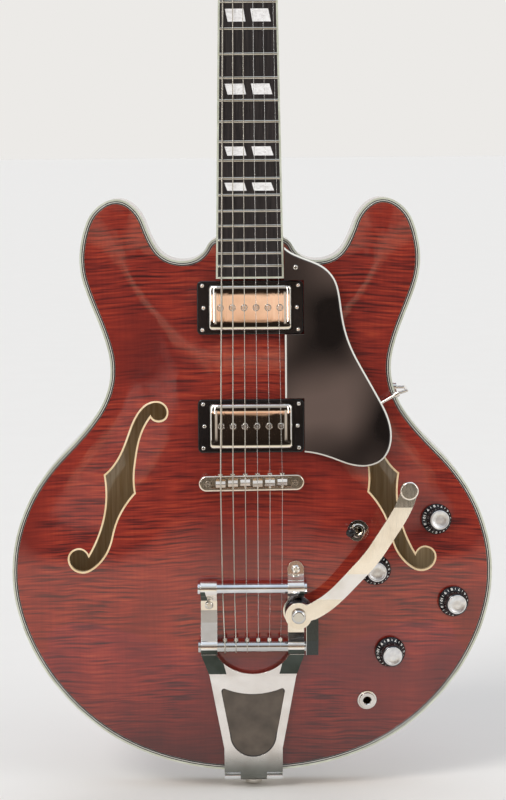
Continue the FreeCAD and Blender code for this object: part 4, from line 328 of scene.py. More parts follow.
# Acrylic pearl: cloudy layers that shift from cool white to a warm tint.
def pouredPearl():
    material, tree = startMaterial("pouredAcrylicPearl")
    cloud = addNode(tree, "TexNoise", inputs={"Vector": patternPlace(tree, 5, 5, 2.5), "Scale": 1.0,
                                              "Detail": 3.0, "Roughness": 0.6, "Distortion": 1.2})
    stops = [(0.3, "#DAD6D4"), (0.72, "#FBFAF8"), (0.5, "#F1EEEC")]
    return finishMaterial(material, {
        "Base Color": addNode(tree, "ValToRGB", {"stops": stops}, [cloud]),
        "Roughness": 0.16, "Coat Weight": 0.5, "Coat Roughness": 0.05})


# Plated, cast or drawn metal: fine polishing lines, eased edges and a faint tarnish in patches.
def polishedMetal(name, tarnish, colour, roughness):
    material, tree = startMaterial(name)
    strokes, rough = wheelMarks(tree, (0.4, 6, 6), roughness * 0.8, roughness * 1.25)
    return finishMaterial(material, {
        "Base Color": cloudedColour(tree, [(0.3, tarnish), (0.62, colour)], 18),
        "Metallic": 1.0, "Roughness": rough, "Normal": easedRelief(tree, 0.25, 0.3, 0.000004, strokes)})


# Pickup cover: pressed nickel silver, polished to a mirror. The press leaves its front very
# slightly crowned near the edges, which bends what it mirrors there. Half sizes and the middles'
# heights are in mm, the crown in mm for each direction, and the power says how late it starts.
cover = {"half": (35.0, 19.2), "middles": (315.0, 415.5), "crown": (2.6, 1.1), "power": (6.0, 8.0),
         "tones": [(0.3, "#ECE5DA"), (0.62, "#F8F4EC")]}


def pressedMirror():
    material, tree = startMaterial("pressedNickelSilverMirror")
    across, up = directions(tree)[::2]
    low, high = cover["middles"]
    upper = addNode(tree, "Math", "GREATER_THAN", [up, (low + high) / 2])
    middle = addNode(tree, "Math", "MULTIPLY_ADD", [upper, high - low, low])
    above = addNode(tree, "Math", "SUBTRACT", [up, middle])
    falls = []
    for run, half, power, crown in zip((across, above), cover["half"], cover["power"], cover["crown"]):
        share = addNode(tree, "Math", "ABSOLUTE", [addNode(tree, "Math", "DIVIDE", [run, half])])
        rim = addNode(tree, "Math", "POWER", [share, power])
        falls.append(addNode(tree, "Math", "MULTIPLY", [rim, -crown]))
    fall = addNode(tree, "Math", "ADD", falls)
    return finishMaterial(material, {
        "Base Color": cloudedColour(tree, cover["tones"], 18), "Metallic": 1.0,
        "Roughness": wheelMarks(tree, (0.6, 6, 6), 0.02, 0.045)[1],
        "Normal": easedRelief(tree, 0.5, 1.0, mm, fall)})


# Vibrato frame: cast aluminium, buffed. The slopes of the legs that face down under the string bar are
# painted dark as shade, and the foot at the hinge is painted dark as a dark reflection; both are rougher.
casting = {
    "buffed": [(0.3, "#EFE9E1"), (0.62, "#FEFAF4")], "paintedDark": [(0.3, "#40463F"), (0.7, "#565D57")],
    "legsFrom": 103.0,      # mm up
    "lean": 0.24, "edge": -2.2,      # inner edge of the legs: mm outward for each mm up, from a start in mm
    "slope": -0.25,      # a face whose direction points further down gets the painted shade
    "foot": (14.0, 42.0), "footShare": 0.85,      # mm up, over which the painted dark reflection at the foot fades out, and how strong it is
}


def buffedCasting():
    material, tree = startMaterial("buffedCastAluminium")
    across, up = directions(tree)[::2]
    side = addNode(tree, "Math", "ABSOLUTE", [across])
    leaning = addNode(tree, "Math", "MULTIPLY_ADD", [up, -casting["lean"], side])
    normal = addNode(tree, "NewGeometry").outputs["Normal"]
    slope = addNode(tree, "SeparateXYZ", inputs=[normal]).outputs[2]
    leg = addNode(tree, "Math", "MULTIPLY", [
        addNode(tree, "Math", "GREATER_THAN", [up, casting["legsFrom"]]),
        addNode(tree, "Math", "GREATER_THAN", [leaning, casting["edge"]])])
    slopes = addNode(tree, "Math", "MULTIPLY", [
        leg, addNode(tree, "Math", "LESS_THAN", [slope, casting["slope"]])])
    # Painted shade on the down-facing slopes of the legs, and a painted dark reflection at the foot.
    footFrom, footTo = casting["foot"]
    foot = addNode(tree, "MapRange", {"interpolation_type": "SMOOTHSTEP"}, {
        "Value": up, "From Min": footFrom, "From Max": footTo, "To Min": casting["footShare"], "To Max": 0.0})
    under = addNode(tree, "Math", "MAXIMUM", [slopes, foot])
    buffed, paintedDark = (cloudedColour(tree, casting[name], 18) for name in ("buffed", "paintedDark"))
    strokes, wheel = wheelMarks(tree, (8, 8, 0.5), 0.13, 0.2)
    rough = addNode(tree, "Math", "MULTIPLY_ADD", [under, 0.2, wheel])
    return finishMaterial(material, {
        "Base Color": addNode(tree, "Mix", {"data_type": "RGBA"}, {0: under, 6: buffed, 7: paintedDark}).outputs[2],
        "Metallic": 1.0, "Roughness": rough, "Normal": easedRelief(tree, 0.3, 0.3, 0.000006, strokes)})


# Strings: drawn plain steel on the treble side, and nickel wire wound close round a core on the
# bass side. The winding is drawn at twice its real pitch so that it shows.
stringSet = {"pitch": 0.6, "slant": 0.3, "plain": "#E4E4E2", "crest": "#DAD4C9", "grooveShade": "#867F74"}


def woundAndPlainStrings():
    material, tree = startMaterial("nickelWoundAndPlainSteel")
    across, depth, up = directions(tree)
    bass = addNode(tree, "Math", "LESS_THAN", [across, 0.0])
    slant = addNode(tree, "Math", "MULTIPLY_ADD", [depth, stringSet["slant"], up])
    turn = addNode(tree, "Math", "MULTIPLY", [slant, 2 * math.pi / stringSet["pitch"]])
    wave = addNode(tree, "Math", "MULTIPLY_ADD", [addNode(tree, "Math", "SINE", [turn]), 0.5, 0.5])
    # The grooves between the turns are painted darker: painted shade.
    stops = [(0.1, stringSet["grooveShade"]), (0.5, stringSet["crest"])]
    wound = addNode(tree, "ValToRGB", {"stops": stops}, [wave])
    height = addNode(tree, "Math", "MULTIPLY", [wave, bass])
    return finishMaterial(material, {
        "Base Color": addNode(tree, "Mix", {"data_type": "RGBA"},
                              {0: bass, 6: stringSet["plain"], 7: wound}).outputs[2],
        "Metallic": 1.0,
        "Roughness": addNode(tree, "MapRange", inputs={"Value": bass, "To Min": 0.2, "To Max": 0.34}),
        "Normal": addNode(tree, "Bump", inputs={"Strength": 0.8, "Distance": 0.0001, "Height": height})})


# Switch lever: a plated stem with a moulded black tip, which starts at a distance in mm from the
# pivot.
lever = {"tipFrom": 15.2, "tip": [(0.3, "#0D0C0D"), (0.8, "#1A1819")],
         "plate": [(0.3, "#CBC4B8"), (0.6, "#DCD8D0")]}


def tippedStem():
    material, tree = startMaterial("platedStemWithMouldedTip")
    pivot = Vector(joints["switch_lever_throw"]["pos_m"])
    spots = [vertex.co for vertex in nodes["switch_lever"].data.vertices]
    heading = (max(spots, key=lambda spot: (spot - pivot).length) - pivot).normalized()
    place = addNode(tree, "TexCoord").outputs["Object"]
    offset = addNode(tree, "VectorMath", "SUBTRACT", [place, pivot])
    along = addNode(tree, "VectorMath", "DOT_PRODUCT", [offset, heading]).outputs["Value"]
    stem = addNode(tree, "Math", "LESS_THAN", [along, lever["tipFrom"] * mm])
    tip, plate = (cloudedColour(tree, lever[name], 2) for name in ("tip", "plate"))
    return finishMaterial(material, {
        "Base Color": addNode(tree, "Mix", {"data_type": "RGBA"}, {0: stem, 6: tip, 7: plate}).outputs[2],
        "Metallic": stem, "Roughness": 0.14, "IOR": 1.5})


# String bar and arm bracket in one: a polished bar, and at its right end a block whose faces that don't face
# up are painted dark as shade, rougher and pitted, while the slope that faces up is polished.
bracket = {"from": 45.6, "slope": 0.25, "bright": "#D2D2D0", "paintedDark": [(0.3, "#434745"), (0.7, "#5A5E5C")]}


def barAndBracket():
    material, tree = startMaterial("polishedBarWithCastBracket")
    across = directions(tree)[0]
    eased = addNode(tree, "Bevel", {"samples": 4}, {"Radius": 0.25 * mm})
    slope = addNode(tree, "SeparateXYZ", inputs=[eased]).outputs[2]
    # Painted shade: the block's faces that don't face up take the dark colour.
    block = addNode(tree, "Math", "MULTIPLY", [
        addNode(tree, "Math", "GREATER_THAN", [across, bracket["from"]]),
        addNode(tree, "Math", "LESS_THAN", [slope, bracket["slope"]])])
    skin = addNode(tree, "TexNoise", inputs={"Vector": patternPlace(tree, 0.6), "Scale": 1.0})
    paintedDark = addNode(tree, "ValToRGB", {"stops": bracket["paintedDark"]}, [skin])
    pits = addNode(tree, "Math", "MULTIPLY", [skin, block])
    return finishMaterial(material, {
        "Base Color": addNode(tree, "Mix", {"data_type": "RGBA"},
                              {0: block, 6: bracket["bright"], 7: paintedDark}).outputs[2],
        "Metallic": 1.0,
        "Roughness": addNode(tree, "MapRange", inputs={"Value": block, "To Min": 0.1, "To Max": 0.32}),
        "Normal": addNode(tree, "Bump", inputs={"Strength": 0.5, "Distance": 0.00006, "Height": pits,
                                                "Normal": eased})})


print("materials")
cherryTop = flamedMaple("cherryStainedFlamedMapleTop", bareSide=1)
cherryBack = flamedMaple("cherryStainedFlamedMapleBack", bareSide=-1)
cherryRim = flamedMaple("cherryStainedBentMapleRim", bandsAlong="Y", strength=0.7)
cherryNeck = flamedMaple("cherryStainedCarvedMapleNeck", strength=0.35, tone="#CDBAB4")
cream = warmCream("scrapedCreamCellulose", "#B4B5A2", "#CDCFBE")
black = mouldedGloss("mouldedBlackAbs", "#0C0B0C", "#171517", 0.2)
nickel = polishedMetal("polishedNickelPlate", "#D6D0C6", "#EAE6E0", 0.08)
bridgeNickel = polishedMetal("wornWarmNickel", "#DDCBB6", "#F6EADB", 0.15)
steel = polishedMetal("polishedSteelBar", "#DCDFE3", "#F1F3F5", 0.09)
aluminium = polishedMetal("polishedCastAluminium", "#F0E8DC", "#FEF9F1", 0.17)

finishes = {
    "body_top": cherryTop, "body_back": cherryBack, "body_rim": cherryRim, "neck": cherryNeck,
    "body_binding": cream, "fretboard_binding": cream,
    "f_hole_binding": warmCream("agedCreamCellulose", "#DDBE90", "#F0D8B0"),
    "centre_block": sawnMaple(), "fretboard": oiledEbony(), "fret_inlays": pouredPearl(), "truss_rod": steel,
    "headstock_veneer": mouldedGloss("sprayedBlackLacquer", "#08080A", "#111013", 0.06),
    "frets": polishedMetal("drawnNickelSilver", "#C4BDAE", "#DAD6CD", 0.12),
    "nut": warmCream("polishedBone", "#DFD6C0", "#F1EBDD"), "truss_rod_cover": black,
    "pickup_rings": black, "pickup_covers": pressedMirror(), "pickup_pole_screws": nickel,
    "pickup_coils": polishedMetal("enamelledCopperWire", "#4A2010", "#6E3519", 0.4),
    "bridge_base": bridgeNickel, "bridge_studs": bridgeNickel, "tuner_housings": nickel,
    "screws": nickel, "strap_buttons": nickel, "output_jack": nickel, "potentiometers": steel,
    "switch_body": nickel, "switch_lever": tippedStem(), "pickguard": pliedVinyl(),
    "pickguard_bracket": nickel, "vibrato_frame": buffedCasting(), "vibrato_string_bar": barAndBracket(),
    "vibrato_bearings": polishedMetal("turnedBrass", "#A5803D", "#C7A35B", 0.25),
    "vibrato_hinge": steel, "tension_bar": steel, "vibrato_spring": steel, "vibrato_arm": aluminium,
    "strings": woundAndPlainStrings(),
}
for number in range(1, 7):
    finishes[f"tuner_post_{number}"] = nickel
    finishes[f"tuner_button_{number}"] = nickel
    finishes[f"saddle_{number}"] = bridgeNickel
for number in range(1, 5):
    finishes[f"knob_{number}"] = black
for name, material in finishes.items():
    for place in nodes[name].material_slots:
        place.material = material


# A piece of mesh that rides on a body, or on none. Its own origin may be put at a place on it.
def addPiece(name, points, faces, material, body="guitar", origin=Vector()):
    mesh = makeMesh(name, [point - origin for point in points], faces, material)
    for polygon in mesh.polygons:
        polygon.use_smooth = True
    mesh.update()
    piece = addObject(name, mesh)
    piece.location = origin
    bpy.context.view_layer.update()
    if body:
        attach(piece, body)
    return piece


# Directions round a circle, from one side towards another.
def circle(around, first, second):
    angles = [2 * math.pi * step / around for step in range(around)]
    return [first * math.cos(angle) + second * math.sin(angle) for angle in angles]


# Rings of points, each joined to the next, for turned forms and tubes.
def ringFaces(rings, around, first=0):
    faces = []
    for ring in range(rings - 1):
        for step in range(around):
            low, after = first + ring * around, (step + 1) % around
            faces.append((low + step, low + after, low + around + after, low + around + step))
    return faces


# Plies beside the body binding: thin black and white strips between the cream and the wood, as
# distances in mm from the outer edge.
plies = {
    "strips": [(1.65, 2.5, "black"), (2.5, 3.0, "white"), (3.0, 4.1, "black")], "rise": 0.03, "sink": 0.3,
    "tones": {"black": ("dyedBlackFibre", "#121013", "#1D1A1D"),
              "white": ("bleachedWhiteFibre", "#CFCBBE", "#E4E0D4")},
    "front": -0.99, "near": 0.1,      # how far forward a face looks and how near the level it lies, to count
    "weld": 200,      # steps for each mm, so that points nearer than 0.005 mm are one
    "corner": 0.8,      # radians, a sharper turn ends a run
}


# The outer edge of a node's flat front face, as one run of points from end to end.
def outerRun(node, level):
    mesh = nodes[node].data
    spots = {}
    names = []
    for vertex in mesh.vertices:
        key = tuple(round(value / mm * plies["weld"]) for value in vertex.co)
        names.append(spots.setdefault(key, len(spots)))
    places = {name: Vector((vertex.co.x, vertex.co.z)) for vertex, name in zip(mesh.vertices, names)}
    times = {}
    for polygon in mesh.polygons:
        if polygon.normal.y < plies["front"] and abs(polygon.center.y - level) < plies["near"] * mm:
            ring = [names[index] for index in polygon.vertices]
            for pair in zip(ring, ring[1:] + ring[:1]):
                times[frozenset(pair)] = times.get(frozenset(pair), 0) + 1
    beside = {}
    for pair, count in times.items():
        if count == 1:
            for name in pair:
                beside.setdefault(name, []).extend(pair - {name})
    loop = [min(beside)]
    before = None
    while True:
        following = [name for name in beside[loop[-1]] if name != before][0]
        if following == loop[0]:
            break
        before = loop[-1]
        loop.append(following)
    points = [places[name] for name in loop]
    corners = []
    for place, point in enumerate(points):
        arriving, leaving = point - points[place - 1], points[(place + 1) % len(points)] - point
        if arriving.angle(leaving, 0) > plies["corner"]:
            corners.append(place)
    runs = []
    for place, start in enumerate(corners):
        end = corners[(place + 1) % len(corners)]
        runs.append(points[start:end + 1] if end > start else points[start:] + points[:end + 1])
    return min(runs, key=lambda run: min(point.y for point in run))


def movedRun(run, distance):
    moved = []
    for place, point in enumerate(run):
        heading = (run[min(place + 1, len(run) - 1)] - run[max(place - 1, 0)]).normalized()
        moved.append(point + Vector((-heading.y, heading.x)) * distance)
    return moved


def makePlies():
    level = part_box("body_binding")[0][1]
    run = outerRun("body_binding", level)
    inward = 1 if max(point.x for point in movedRun(run, mm)) < max(point.x for point in run) else -1
    fibres = {colour: glossyStrip(*tones) for colour, tones in plies["tones"].items()}
    for number, (start, end, colour) in enumerate(plies["strips"], start=1):
        points = []
        faces = []
        for outer, inner in zip(movedRun(run, inward * start * mm), movedRun(run, inward * end * mm)):
            for place, height in ((outer, plies["sink"]), (outer, -plies["rise"]), (inner, -plies["rise"]),
                                  (inner, plies["sink"])):
                points.append(Vector((place.x, level + height * mm, place.y)))
        for step in range(len(run) - 1):
            for corner in range(3):
                low = step * 4 + corner
                faces.append((low, low + 1, low + 5, low + 4))
        addPiece(f"binding_ply_{number}", points, faces, fibres[colour])


# Knobs: a spun cap let into the top, and white figures round the skirt. Radii and heights in mm.
knobs = {
    "cap": [(0.02, 15.3), (2.6, 15.25), (6.2, 15.1), (6.6, 15.45), (7.6, 15.5), (8.1, 15.25), (8.15, 14.95)],
    "around": 72, "top": 15,      # steps round the cap, and the height of its own origin
    "figureHeight": 2.7, "figureRadius": 11.3, "figureLevel": 4.25, "lean": 0.77, "rise": 0.638, "lift": 0.12,
    "step": 360 / 11, "start": -250,      # degrees between figures, and from the top to the 0
    "tick": (0.22, 1.0),      # half width and half height of the line between two figures
    "letter": 1.35, "bold": 0.04,      # size and added weight of a figure, as shares of its height
    "ring": 0.7,      # from ring to ring of the tool's marks
}


# Spun aluminium: rings left by the tool, which draw the light into a fan.
def spunAluminium():
    material, tree = startMaterial("spunAluminiumCap")
    place = addNode(tree, "TexCoord").outputs["Object"]
    radius = addNode(tree, "VectorMath", "LENGTH", [place]).outputs["Value"]
    turns = addNode(tree, "Math", "MULTIPLY", [radius, 2 * math.pi / (knobs["ring"] * mm)])
    rings = addNode(tree, "Math", "SINE", [turns])
    tangent = addNode(tree, "Tangent", {"direction_type": "RADIAL", "axis": "Y"})
    return finishMaterial(material, {
        "Base Color": cloudedColour(tree, [(0.3, "#DADBDD"), (0.7, "#F4F4F3")], 4),
        "Metallic": 1.0, "Roughness": 0.28, "Anisotropic": 0.7, "Tangent": tangent,
        "Normal": addNode(tree, "Bump", inputs={"Strength": 0.4, "Distance": 0.00003, "Height": rings})})


# Pad-printed ink: flat white, a little uneven.
def whiteInk():
    material, tree = startMaterial("padPrintedWhiteInk")
    return finishMaterial(material, {
        "Base Color": cloudedColour(tree, [(0.3, "#DAD8D0"), (0.7, "#F1EFE8")], 0.6), "Roughness": 0.45})


# One printed figure as flat faces, cut from Blender's own plain letters.
def figureShape(text):
    curve = bpy.data.curves.new("figure", "FONT")
    curve.body = text
    curve.size = knobs["figureHeight"] * mm * knobs["letter"]
    curve.align_x = curve.align_y = "CENTER"
    curve.resolution_u = 2
    curve.offset = knobs["figureHeight"] * mm * knobs["bold"]
    model = addObject("figure", curve)
    bpy.context.view_layer.update()
    mesh = bpy.data.meshes.new_from_object(model.evaluated_get(bpy.context.evaluated_depsgraph_get()))
    spots = [vertex.co.copy() for vertex in mesh.vertices]
    shapes = [tuple(polygon.vertices) for polygon in mesh.polygons]
    bpy.data.objects.remove(model)
    bpy.data.curves.remove(curve)
    bpy.data.meshes.remove(mesh)
    return spots, shapes


def makeKnobs():
    spun, ink = spunAluminium(), whiteInk()
    wideHalf, tallHalf = (value * mm for value in knobs["tick"])
    corners = [Vector((x * wideHalf, y * tallHalf, 0)) for x, y in ((-1, -1), (1, -1), (1, 1), (-1, 1))]
    figures = []
    for value in range(11):
        figures += [figureShape(str(value)), (corners, [(0, 1, 2, 3)])]
    for number in range(1, 5):
        joint = joints[f"knob_{number}_turn"]
        place, axis = Vector(joint["pos_m"]), Vector(joint["axis"])
        upward = (Vector((0, 0, 1)) - axis * axis.z).normalized()
        rightward = upward.cross(axis)
        sides = circle(knobs["around"], rightward, upward)
        points = [place + (side * radius + axis * height) * mm
                  for radius, height in knobs["cap"] for side in sides]
        addPiece(f"knob_{number}_cap", points, ringFaces(len(knobs["cap"]), knobs["around"]), spun,
                 f"knob_{number}", place + axis * knobs["top"] * mm)
        points = []
        faces = []
        for value, (spots, shapes) in enumerate(figures):
            angle = math.radians(knobs["start"] + knobs["step"] * value / 2)
            radial = upward * math.cos(angle) - rightward * math.sin(angle)
            wide, tall = axis.cross(radial), axis * knobs["lean"] - radial * knobs["rise"]
            facing = radial * knobs["lean"] + axis * knobs["rise"]
            centre = place + (radial * knobs["figureRadius"] + axis * knobs["figureLevel"]
                              + facing * knobs["lift"]) * mm
            faces += [tuple(index + len(points) for index in shape) for shape in shapes]
            points += [centre + wide * spot.x + tall * spot.y for spot in spots]
        addPiece(f"knob_{number}_figures", points, faces, ink, f"knob_{number}")


# Recess of the vibrato plate, filled with dark satin paint. Its outline in mm is a half circle,
# two leaning sides, round corners and a top edge that sags.
recess = {
    "turn": 48.6, "radius": 20.0, "shoulder": (27.0, 87.4), "corner": (24.4, 87.9, 2.6),
    "top": 85.4, "sag": 5.0,
    "floor": -26.0, "facing": -0.8,      # the floor lies before this depth, and its faces look forward
    "reach": 0.1,      # how far past the outline a face's middle may be
    "coat": 0.03, "lineInset": 0.15, "line": 0.8, "shadeLineLift": 0.06,
}


def recessSide(up):
    (across, high), low = recess["shoulder"], recess["turn"]
    return recess["radius"] + (across - recess["radius"]) * (up - low) / (high - low)


def recessTop(across):
    return recess["top"] + recess["sag"] * (across / recess["corner"][0]) ** 2


def insideRecess(centre, normal):
    across, up = abs(centre.x), centre.z
    if normal.y > recess["facing"] or centre.y > recess["floor"]:
        return False
    if up < recess["turn"]:
        return math.hypot(across, up - recess["turn"]) < recess["radius"] + recess["reach"]
    cornerAcross, cornerUp, cornerRadius = recess["corner"]
    if across > cornerAcross and up > cornerUp:
        return math.hypot(across - cornerAcross, up - cornerUp) < cornerRadius
    return across < recessSide(up) + recess["reach"] and up < recessTop(across) + recess["reach"]


# The faces of the frame inside that outline, covered by a thin coat of paint.
def makeRecessPaint(material):
    source, lift = nodes["vibrato_frame"].data, recess["coat"] * mm
    points = []
    faces = []
    for polygon in source.polygons:
        if insideRecess(polygon.center / mm, polygon.normal):
            faces.append(tuple(range(len(points), len(points) + len(polygon.vertices))))
            points += [source.vertices[index].co + polygon.normal * lift for index in polygon.vertices]
    print("recess paint:", len(faces), "faces")
    addPiece("recess_paint", points, faces, material)


# Points on part of a circle, between two angles in degrees.
def arc(across, up, radius, first, last, steps):
    angles = [math.radians(first + (last - first) * step / steps) for step in range(steps + 1)]
    return [Vector((across + radius * math.cos(angle), up + radius * math.sin(angle))) for angle in angles]


# A fine dark line runs round the floor of the recess: painted shade at the foot of its wall.
def makeRecessLine(material):
    cornerAcross, cornerUp, cornerRadius = recess["corner"]
    edge = [cornerAcross * (1 - step / 12) for step in range(1, 24)]
    run = arc(0, recess["turn"], recess["radius"], 180, 360, 60)
    run += arc(cornerAcross, cornerUp, cornerRadius, 10, 80, 8)
    run += [Vector((across, recessTop(across))) for across in edge]
    run += arc(-cornerAcross, cornerUp, cornerRadius, 100, 170, 8)
    run.append(run[0])
    points = []
    for place, point in enumerate(run):
        before, after = run[place - 1 if place else -2], run[place + 1 if place < len(run) - 1 else 1]
        heading = (after - before).normalized()
        for inset in (recess["lineInset"], recess["lineInset"] + recess["line"]):
            spot = (point + Vector((-heading.y, heading.x)) * inset) * mm
            start = Vector((spot.x, -ahead, spot.y))
            hit, normal = nodes["vibrato_frame"].ray_cast(start, Vector((0, 1, 0)))[1:3]
            points.append(hit + normal * recess["shadeLineLift"] * mm)
    faces = [(2 * step, 2 * step + 1, 2 * step + 3, 2 * step + 2) for step in range(len(run) - 1)]
    addPiece("recess_shade_line", points, faces, material)


def recessPaint():
    material, tree = startMaterial("satinEnamelInRecess")
    speck = addNode(tree, "TexNoise", inputs={"Vector": patternPlace(tree, 0.5), "Scale": 1.0})
    return finishMaterial(material, {
        "Base Color": cloudedColour(tree, [(0.3, "#4A4138"), (0.7, "#5E5348")], 12), "Roughness": 0.42,
        "Normal": addNode(tree, "Bump", inputs={"Strength": 0.5, "Distance": 0.00005, "Height": speck})})


# Spring of the arm: a dark tempered wire with closed end turns, in the CAD coil's place. Radii in
# mm, and "flat" is the share of a turn that lies closed at each end.
coil = {"radius": 9.8, "wire": 1.5, "turns": 3.5, "flat": 0.55, "around": 16, "perTurn": 40}


def makeSpring():
    low, high = (Vector(corner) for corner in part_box("vibrato_spring"))
    centre = Vector(joints["arm_swing"]["pos_m"])
    first, last = high.y - coil["wire"] * mm, low.y + coil["wire"] * mm
    steps = int(coil["turns"] * coil["perTurn"])
    line = []
    for step in range(steps + 1):
        turn = step / coil["perTurn"]
        share = min(max((turn - coil["flat"]) / (coil["turns"] - 2 * coil["flat"]), 0), 1)
        angle = 2 * math.pi * turn
        line.append(Vector((centre.x + coil["radius"] * mm * math.cos(angle), first + (last - first) * share,
                            centre.z + coil["radius"] * mm * math.sin(angle))))
    points = []
    for step, spot in enumerate(line):
        heading = (line[min(step + 1, steps)] - line[max(step - 1, 0)]).normalized()
        outward = Vector((spot.x - centre.x, 0, spot.z - centre.z)).normalized()
        upright = heading.cross(outward)
        points += [spot + side * coil["wire"] * mm for side in circle(coil["around"], outward, upright)]
    around = range(coil["around"])
    faces = ringFaces(steps + 1, coil["around"])
    faces += [tuple(around), tuple(len(points) - 1 - corner for corner in around)]
    tempered = polishedMetal("oilTemperedSpringWire", "#3F3F44", "#5D5D62", 0.25)
    spring = addPiece("spring_coil", points, faces, tempered, None)
    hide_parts("vibrato_spring")
    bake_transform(spring)


# Strings, in the CAD strings' place. Behind each saddle a string falls off only where the saddle's travel
# ends. "still" and "carried" are in metres, and "spread" is how far in mm a string is from its saddle's
# middle.
stringPath = {"rise": 0.05, "spread": 1.5, "still": (0, -0.044, 0.172), "carried": (0, -0.044, 0.138)}


def makeStrings():
    source = nodes["strings"].data
    points = [vertex.co.copy() for vertex in source.vertices]
    for number in range(1, 7):
        low, high = (Vector(corner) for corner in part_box(f"saddle_{number}"))
        travel = -joints[f"saddle_{number}_slide"]["range_m"][0]
        for point in points:
            if abs(point.x - (low.x + high.x) / 2) < stringPath["spread"] * mm and low.z < point.z < high.z:
                point.z -= travel
                point.y -= travel * stringPath["rise"]
    faces = [tuple(polygon.vertices) for polygon in source.polygons]
    strings = addPiece("string_set", points, faces, finishes["strings"], None)
    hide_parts("strings")
    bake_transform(strings)


# Dots in the side of the board, on the player's side, halfway between frets. Lengths in mm.
sideDots = {
    "nut": 902.17, "scale": 628.65, "frets": [3, 5, 7, 9, 12, 12, 15, 17, 19], "apart": 3.4,
    "depth": -19, "depthAt": 900, "fall": 0.04,      # depth at a height, and how it falls away below that
    "radius": 1.1, "around": 20,
    "dome": [(1.0, 0.0), (0.9, 0.04), (0.0, 0.05)],      # share of the radius, and height
}


def makeSideDots():
    shell = mouldedGloss("cutTortoiseCellulose", "#2B140C", "#4A2413", 0.25)
    points = []
    faces = []
    for number, fret in enumerate(sideDots["frets"]):
        before, after = (sideDots["nut"] - sideDots["scale"] * (1 - 2 ** (-line / 12))
                         for line in (fret - 1, fret))
        up = (before + after) / 2
        if fret == 12:
            up += sideDots["apart"] * (0.5 if sideDots["frets"].index(12) == number else -0.5)
        depth = sideDots["depth"] - sideDots["fall"] * (sideDots["depthAt"] - up)
        found, spot, normal = nodes["fretboard_binding"].ray_cast(
            Vector((-ahead, depth * mm, up * mm)), Vector((1, 0, 0)))[:3]
        if not found:
            continue
        faces += ringFaces(len(sideDots["dome"]), sideDots["around"], len(points))
        wide = Vector((0, 0, 1)) - normal * normal.z
        sides = circle(sideDots["around"], wide, normal.cross(wide))
        for share, lift in sideDots["dome"]:
            points += [spot + side * sideDots["radius"] * share * mm + normal * lift * mm for side in sides]
    addPiece("side_dots", points, faces, shell)


print("details")
makePlies()
makeKnobs()
makeRecessPaint(recessPaint())
makeRecessLine(glossyStrip("paintedRecessShade", "#17120F", "#241D18"))
makeSpring()
makeStrings()
makeSideDots()

# Camera at the photograph's place: a long lens a little above the middle of the body. Its place
# and clipping distances are in metres, its angles in degrees, its lens and sensor in mm.
cameraSettings = {"place": (0.0018, -2.2, 0.560), "pitch": 5.88, "roll": -0.441, "lens": 116.06, "sensor": 36,
                  "clip": (0.05, 120)}
lens = bpy.data.cameras.new("camera")
lens.lens, lens.sensor_width = cameraSettings["lens"], cameraSettings["sensor"]
lens.clip_start, lens.clip_end = cameraSettings["clip"]
camera = addObject("camera", lens)
tilt = Matrix.Rotation(math.radians(90 - cameraSettings["pitch"]), 4, "X")
camera.matrix_world = (Matrix.Translation(cameraSettings["place"]) @ tilt
                       @ Matrix.Rotation(math.radians(cameraSettings["roll"]), 4, "Z"))
bpy.context.scene.camera = camera

# Studio, in metres: a wide pale floor under a pale sky that meets it without a line, even light from suns,
# and a dark warm card and mat in front, which only the lacquer and the mirrors show. Card and mat glow a
# little with their own colours: painted reflections.
studio = {
    "floor": 60.0, "floorGap": 0.5 * mm, "floorColour": [(0.3, "#F2EDE6"), (0.7, "#F3EEE7")],
    "world": 1.0,
    "sky": [(0.5, "#ECEAE7"), (1.0, "#E8F1FD"), (0.6, "#ECEAE7"), (0.68, "#B4AEA8"), (0.8, "#B5B4B4"),
            (0.88, "#D2E0F2")],
    # name, direction, strength, spread in degrees
    "suns": [("key", (-1.0, -1.5, 1.5), 1.0, 20), ("fill", (1.3, -1.0, 0.7), 0.35, 30),
             ("back", (0.6, 1.6, 1.0), 0.4, 30)],
    # name, place, width, height, watts
    "strips": [("leftStrip", (-1.3, -2.6, 1.1), 0.09, 1.5, 3.2),
               ("farLeftStrip", (-1.75, -2.3, 1.0), 0.05, 1.2, 1.6),
               ("rightStrip", (1.45, -2.5, 1.0), 0.07, 1.3, 2.2)],
    "aim": 0.8,      # share of its own height at which a strip aims, on the guitar
    "cards": {"card": ((-4.2, -5.2, 0.0), (4.2, -5.2, 2.4)), "mat": ((-4.2, -5.2, 0.0), (4.2, -0.45, 0.0))},
    "cardsUp": 1 * mm, "matPale": "#DCD0BD",
    "matFade": (-1.8, -1.05),      # from the guitar, over which the mat turns as pale as the floor
    "felt": [(0.0, "#1E1814"), (1.0, "#A8A29C"), (0.13, "#2A211B"), (0.19, "#D9AC8E"), (0.25, "#F0C8AC"),
             (0.33, "#2B211B"), (0.72, "#17120F")],
    # pale patches of painted reflection on the card, which come and go between two distances on each side
    "cloth": {"colour": "#B9AEA4", "across": (1.6, 1.9, 2.3, 2.6), "up": (0.0, 0.2, 0.75, 1.0)},
    "mottle": (5.0, 0.35),      # clouds for each metre, and how far they move the felt's bands
    "glow": 0.35,
}


